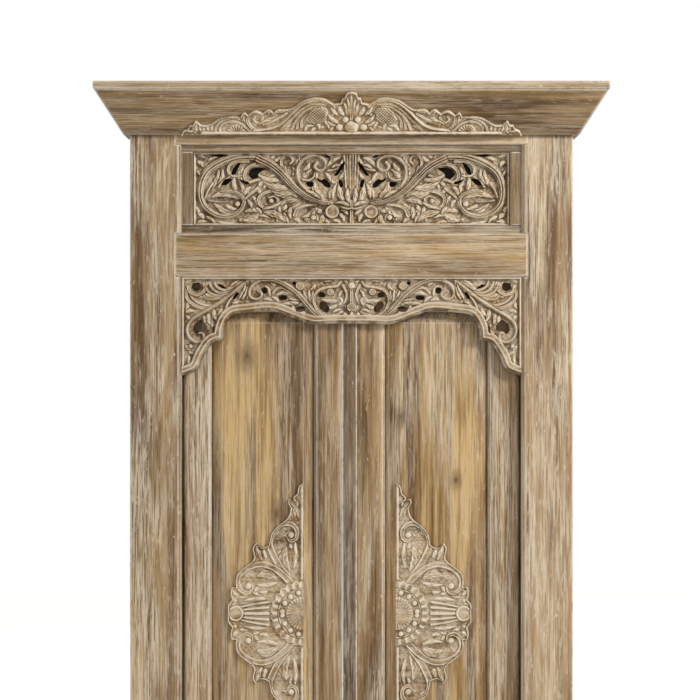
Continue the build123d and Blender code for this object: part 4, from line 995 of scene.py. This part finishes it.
# the mouldings: a narrow bead along the top and the side, and the band along the scallops
from_scallop = drop.nearest(everywhere, scallop)[-1]
from_edge = np.minimum(drop_half + drop.u, -drop.v)
edge_bead_width = 6.0
edge_bead = 0.55 + 0.45 * np.sin(math.pi * np.clip(from_edge / edge_bead_width, 0, 1))
drop.height = np.where(from_edge < edge_bead_width, drop_rise * edge_bead, drop.height)
band_places = (0.0, 7.0, 9.0, 11.0, 13.0, 18.0, 20.0, 22.0, 24.0)
band_heights = (0.30, 0.62, 0.95, 0.95, 0.70, 0.74, 1.0, 1.0, 0.45)
scallop_band = drop_rise * np.interp(from_scallop, band_places, band_heights)
drop.height = np.where(from_scallop < band_places[-1], scallop_band, drop.height)
drop_outline = np.vstack([
    [(0, 0.1), (-drop_half, 0.1)], scallop, [(past_middle, -126), (past_middle, 0.1)],
])
drop.inside = distance_inside(drop.u, drop.v, drop_outline)
drop_openings = (
    [(-364, -20), (-358, -26), (-342, -33), (-342, -28), (-354, -20)],
    [(-408, -115), (-399, -124), (-392, -135), (-396, -147), (-409, -147), (-420, -154), (-428, -149),
        (-430, -135), (-421, -123)],
    [(-430, -16), (-412, -16), (-410, -32), (-422, -38), (-434, -30)],
    [(-312, -40), (-306, -46), (-318, -60), (-322, -54)],
    [(-244, -30), (-232, -27), (-227, -36), (-233, -45), (-243, -41)],
    [(-199, -53), (-186, -50), (-174, -53), (-178, -61), (-194, -62)],
    [(-152, -86), (-143, -80), (-128, -81), (-126, -90), (-138, -95), (-149, -93)],
    [(-162, -17), (-156, -22), (-150, -16), (-156, -11)],
    [(-84, -66), (-72, -70), (-60, -84), (-66, -96), (-78, -92), (-88, -80)],
    [(-84, -40), (-72, -44), (-72, -54), (-88, -54), (-90, -46)],
    [(-376, -132), (-370, -136), (-372, -150), (-378, -150)],
)
drop_board = carved_board(
    "lambrequin_carving", mirrored(drop), drop_depth, (0, drop_high.y, drop_high.z), drop_openings,
)
drop_board.data.materials.append(carved_teak("lambrequin_carved_teak", (1.3, 0.2, 0.6), 0.75, 0.7))
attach(drop_board, "frame")
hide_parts("lambrequin")

# The crest: a board sawn to its outline, carved with scrolls, shells and a palmette, and
# pinned on the sloping face of the cornice, on the frame's middle line.
crest_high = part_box("crest_carving")[1]
slope = math.radians(31.64)
crest_height = 126.0
crest_depth = 11.4
crest_foot = (0, crest_high.y, crest_high.z - crest_height * math.cos(slope) * mm)
crest_rise = 8.5
crest = Carving((-463.5, 0.0), (0.0, 129.0), crest_rise)
crest_edge = lobed(
    (-458, 0), [(-452, 13), (-439, 19)], [(-434, 29), (-425, 30)], [(-418, 41), (-407, 31)],
    [(-384, 31), (-344, 52), (-296, 54)], [(-288, 66), (-278, 59)], [(-258, 71), (-238, 64)],
    [(-222, 75), (-208, 65)], [(-196, 75), (-163, 77), (-126, 101), (-82, 108), (-47, 90)],
    [(-36, 93), (-27, 95)], [(-24, 106), (-17, 109)], [(-12, 121), (0, 126)],
)
crest.leaves(
    (-396, 12, -398, 28, 2, 9), (-385, 12, -386, 29, 2, 9), (-374, 12, -374, 32, 2, 9),
    (-240, 14, -196, 16, 2, 9), (-200, 18, -172, 34, 3, 10), (-186, 14, -160, 30, 3, 10),
    (-60, 52, -44, 60, 3, 12), (-90, 14, -70, 26, 3, 11), (-58, 12, -44, 24, 3, 11),
    (-230, 44, -208, 50, 2, 9), (-224, 60, -212, 56, 2, 8), (-110, 12, -92, 22, 2, 10), full=0.7,
)
# the tail
crest.band([(-459, 2), (-450, 12), (-436, 13), (-420, 10)], 7, 6, 0.95, 0)
crest.leaves(
    (-426, 10, -431, 29, -3, 12, 0.9), (-416, 10, -417, 41, 2, 17),
    (-404, 12, -408, 30, 2, 10, 0.9),
)
# the shell with its ribs under two arches, and the leaf on them
crest.fan((-310, 8), 5, 27, 0, 180, 8, 0.9)
crest.band([(-354, 12), (-352, 26), (-338, 38), (-316, 41), (-296, 34), (-278, 18), (-268, 12)], 7, 8)
crest.band([(-366, 12), (-362, 26), (-350, 40), (-328, 49), (-300, 48), (-282, 36)], 8, 7)
crest.leaf((-284, 38), (-289, 66), 3, 17)
# the round scroll, the waves beside it and the leaf under them
crest.band([(-252, 12), (-268, 22), (-278, 38), (-276, 56), (-262, 67), (-246, 66), (-238, 54),
    (-242, 42), (-254, 38), (-262, 46), (-257, 56)], 10, 6)
crest.leaf((-252, 32), (-200, 44), 4, 12, 0.85)
crest.band([(-240, 60), (-226, 69), (-212, 62)], 7, 5, 1, 0)
crest.band([(-238, 32), (-214, 40), (-196, 50), (-174, 64)], 8, 8, 0.95)
crest.band([(-212, 62), (-198, 69), (-178, 70)], 7, 6, 0.95, 0)
crest.band([(-246, 14), (-214, 20), (-190, 30)], 7, 8, 0.9)
# the net-carved field: crossed cuts leave rows of small lozenges
net_edge = [(-124, 44), (-118, 62), (-99, 80), (-72, 81), (-62, 66), (-72, 42), (-98, 32), (-124, 44)]
net = distance_inside(crest.u, crest.v, through(net_edge, 6))
net_pitch = 8.0
rising = np.abs(np.sin(math.pi * (crest.u + crest.v) / net_pitch))
falling = np.abs(np.sin(math.pi * (crest.u - crest.v) / net_pitch))
crest.lay(everywhere, net, crest_rise * (0.35 + 0.6 * (1 - rising * falling) ** 2))
# the long reeded scroll that rises over it
for line, start_width, end_width in (
    ([(-134, 24), (-133, 44), (-119, 62)], 8, 6),
    ([(-146, 20), (-142, 44), (-126, 65), (-108, 76)], 8, 6),
    ([(-160, 16), (-150, 40), (-132, 64), (-106, 82), (-80, 86)], 8, 7),
    ([(-190, 16), (-168, 40), (-146, 64), (-122, 84), (-98, 92), (-66, 90)], 9, 8),
):
    crest.band(line, start_width, end_width, 0.92)
crest.band([(-262, 14), (-222, 19), (-198, 28), (-176, 46), (-154, 70), (-130, 91), (-104, 102),
    (-82, 103), (-62, 96), (-48, 85)], 9, 14, 1, 2)
# the leaves and the berries beside the palmette
crest.leaves(
    (-128, 12, -98, 28, 8, 13, 0.9), (-95, 38, -86, 16, 3, 12, 0.9), (-72, 42, -60, 18, 3, 14, 0.9),
    (-34, 34, -64, 64, 4, 15, 0.95), (-40, 28, -66, 44, 3, 12, 0.9),
    (-34, 58, -56, 86, 4, 13, 0.95), (-20, 58, -34, 86, 3, 15),
)
crest.bead((-33, 24), 10)
crest.bead((-16, 46), 9)
# the palmette
crest.leaves((-7, 52, -22, 98, -3, 14), (-4, 50, -13, 114, -3, 12))
crest.band([(0, 44), (0, 84), (0, 122)], 9, 7)
crest.bead((0, 24), 19, 0.95)
crest.band(crest_edge + [0, -2.2], 5, 5, 0.95, 0)
# the bead along the foot
foot_bead_middle, foot_bead_half, foot_bead_end = 8, 4, -404
from_foot_bead = np.abs(crest.v - foot_bead_middle)
foot_bead = 0.4 + 0.6 * np.sqrt(np.clip(1 - (from_foot_bead / foot_bead_half) ** 2, 0, 1))
on_foot_bead = (from_foot_bead < foot_bead_half) & (crest.u > foot_bead_end)
crest.height = np.where(on_foot_bead, crest_rise * foot_bead, crest.height)
crest_outline = np.vstack([crest_edge, [(past_middle, 126), (past_middle, 0), (-458, 0)]])
crest.inside = distance_inside(crest.u, crest.v, crest_outline)
crest_board = carved_board(
    "crest_board", mirrored(crest), crest_depth, crest_foot,
    upward=(0, -math.sin(slope), math.cos(slope)), out=(0, -math.cos(slope), -math.sin(slope)),
)
crest_board.data.materials.append(carved_teak("crest_carved_teak", (2.1, 0.9, 0.4), 0.95, 0.4))
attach(crest_board, "frame")
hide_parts("crest_carving")

# The half-round medallions: a pair of boards carved with two big scrolls each, a beaded
# half rosette in the middle, and leaves up to the tips, pinned over the leaves' panels.
medal_left_low, medal_left_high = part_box("left_medallion")
medal_right_low, medal_right_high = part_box("right_medallion")
medal_middle_z = (medal_left_low.z + medal_left_high.z) / 2
medal_depth = (medal_left_high.y - medal_left_low.y) / mm
medal_rise = 7.5
medal = Carving((-207.0, 0.0), (0.0, 357.0), medal_rise)
medal_edge = lobed(
    (0, 355), [(-12, 345), (-16, 326)], [(-27, 315), (-23, 307)],
    [(-37, 312), (-42, 303), (-34, 288)], [(-38, 269), (-49, 253), (-68, 239)],
    [(-85, 220), (-91, 201), (-94, 185)], [(-106, 179), (-117, 179), (-129, 192)],
    [(-138, 177), (-134, 152), (-142, 138)], [(-158, 127), (-179, 108), (-184, 87), (-183, 70)],
    [(-195, 70), (-198, 54), (-194, 37)], [(-205, 22), (-205, 0)],
)
# small leaves in the gaps, laid first
medal.leaves(
    (-14, 322, -32, 304, 3, 12), (-30, 290, -22, 262, 3, 12), (-70, 236, -84, 208, 4, 14),
    (-90, 190, -106, 180, 2, 11), (-60, 172, -84, 158, 3, 14), (-142, 132, -168, 116, 3, 12),
    (-176, 74, -190, 58, 3, 13), (-150, 52, -176, 44, 3, 14), (-120, 52, -140, 62, 3, 12),
    (-96, 60, -122, 60, 3, 13), (-34, 224, -58, 210, 3, 13), (-26, 252, -48, 240, 3, 12),
    (-120, 140, -132, 168, 3, 14), (-30, 176, -34, 196, 3, 12), (-184, 40, -196, 20, 3, 12),
    (-14, 276, -12, 250, 2, 10), (-102, 70, -118, 84, 3, 12), (-132, 58, -120, 74, 3, 12), full=0.7,
)
# the tip and its curled leaves
medal.leaves((-8, 296, -9, 352, 3, 16), (-16, 290, -28, 314, -5, 13, 0.95))
medal.band([(-10, 262), (-18, 284), (-30, 300), (-40, 306)], 8, 10, 0.9)
# the leaf with veins inside the upper scroll, and the stem that feeds it
medal.leaves((-40, 106, -44, 186, 12, 30, 0.85, 4, 0.1), (-26, 120, -24, 206, -5, 15, 0.85))
medal.band([(-48, 104), (-66, 130), (-80, 160), (-84, 184)], 9, 7, 0.95, 0)
# the upper scroll
medal.band([(-44, 100), (-66, 132), (-84, 166), (-92, 192), (-86, 216), (-68, 238), (-46, 246),
    (-26, 240), (-16, 222), (-20, 204), (-34, 198), (-42, 210)], 21, 9, 1)
medal.bead((-33, 214), 9)
# the crown leaves between the two scrolls
medal.leaves(
    (-100, 150, -107, 180, 3, 15), (-112, 146, -128, 190, 3, 17), (-122, 134, -138, 158, 3, 14),
    full=0.9,
)
# the big channel scroll, which winds in to its eye
medal.band([(-34, 84), (-56, 106), (-84, 126), (-112, 134), (-142, 128), (-166, 112), (-178, 92),
    (-174, 68), (-156, 56), (-142, 62), (-142, 74), (-150, 80)], 20, 9, 1)
medal.bead((-150, 74), 9)
medal.leaves(
    (-72, 96, -130, 100, -10, 26, 0.85, 4, 0.1), (-70, 84, -132, 78, 4, 15, 0.8),
    (-178, 50, -196, 68, 3, 14, 0.9), (-180, 34, -200, 42, 2, 13, 0.9),
)
# the half rosette: a ribbed disc, a ring of beads and gadroons outside it
from_middle = np.hypot(medal.u, medal.v)
angle = np.degrees(np.arctan2(medal.v, -medal.u))
disc_radius, bead_circle, gadroon_radius, rosette_radius = 47.0, 57.5, 68.0, 92.0
gadroons, ribs = 13, 16
scallop_depth, rim_gap, rim_width, hub_radius, rib_start = 6, 10, 1.8, 9, 30
gadroon = np.abs(np.sin(math.radians(1) * angle * gadroons))
gadroon_height = medal_rise * (0.38 + 0.52 * (1 - gadroon) ** 0.7)
gadroon_end = rosette_radius - scallop_depth * (1 - gadroon) - from_middle
medal.lay(everywhere, np.minimum(gadroon_end, from_middle - gadroon_radius), gadroon_height)
ring_ground = np.minimum(gadroon_radius + 1 - from_middle, from_middle - disc_radius + 1)
ring_rims = np.exp(-(((np.abs(from_middle - bead_circle) - rim_gap) / rim_width) ** 2))
medal.lay(everywhere, ring_ground, medal_rise * (0.42 + 0.5 * ring_rims))
rib = np.abs(np.cos(math.radians(1) * angle * ribs))
hub = from_middle < hub_radius
disc = 0.50 + 0.30 * rib * np.clip(from_middle / rib_start, 0, 1) + 0.2 * hub
medal.lay(everywhere, disc_radius - from_middle, medal_rise * disc)
for degrees in (5, 29, 53, 77):
    turn = math.radians(degrees)
    medal.bead((-bead_circle * math.cos(turn), bead_circle * math.sin(turn)), 8)
# the three ribs and the ring boss on the widest place
for rib_place, rib_width in ((0, 11), (15, 9), (28, 8)):
    medal.band([(-96, rib_place * 1.1), (-134, rib_place * 0.9), (-172, rib_place * 0.6)], rib_width,
        rib_width * 0.8, 0.85, 0)
medal.leaf((-100, 40), (-168, 34), -3, 14, 0.85)
medal.bead((-184, 0), 22, ring=True)
# the fillets along the flat side and the cut outline
fillet_half = 3.5
from_fillet = np.abs(-medal.u - fillet_half)
on_fillet = (from_fillet < fillet_half) & (from_middle > rosette_radius)
fillet = medal_rise * (0.5 + 0.5 * np.cos(math.pi * from_fillet / (2 * fillet_half)))
medal.height = np.where(on_fillet, fillet, medal.height)
medal.band(medal_edge + [2.2, 0], 5, 5, 0.92, 0)
medal_outline = np.vstack([[(past_middle, -2.0), (past_middle, 355)], medal_edge, [(-205, -2.0)]])
medal.inside = distance_inside(medal.u, medal.v, medal_outline)
# the foot line of the half isn't an edge, as the board goes on below it
medal.inside[:, 0] = medal.inside[:, 1]
for side, low, high in ((-1, medal_left_low, medal_left_high), (1, medal_right_low, medal_right_high)):
    side_name = "left" if side < 0 else "right"
    flat_side = high.x if side < 0 else low.x
    medal_board = carved_board(
        side_name + "_medallion_carving", mirrored(medal, about_foot=True), medal_depth,
        (flat_side, high.y, medal_middle_z), across=(-side, 0, 0),
    )
    medal_board.data.materials.append(
        carved_teak(side_name + "_medallion_teak", (0.7 * side, 0.3, 0.9), 1.0, 0.35))
    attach(medal_board, side_name + "_leaf")
    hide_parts(side_name + "_medallion")
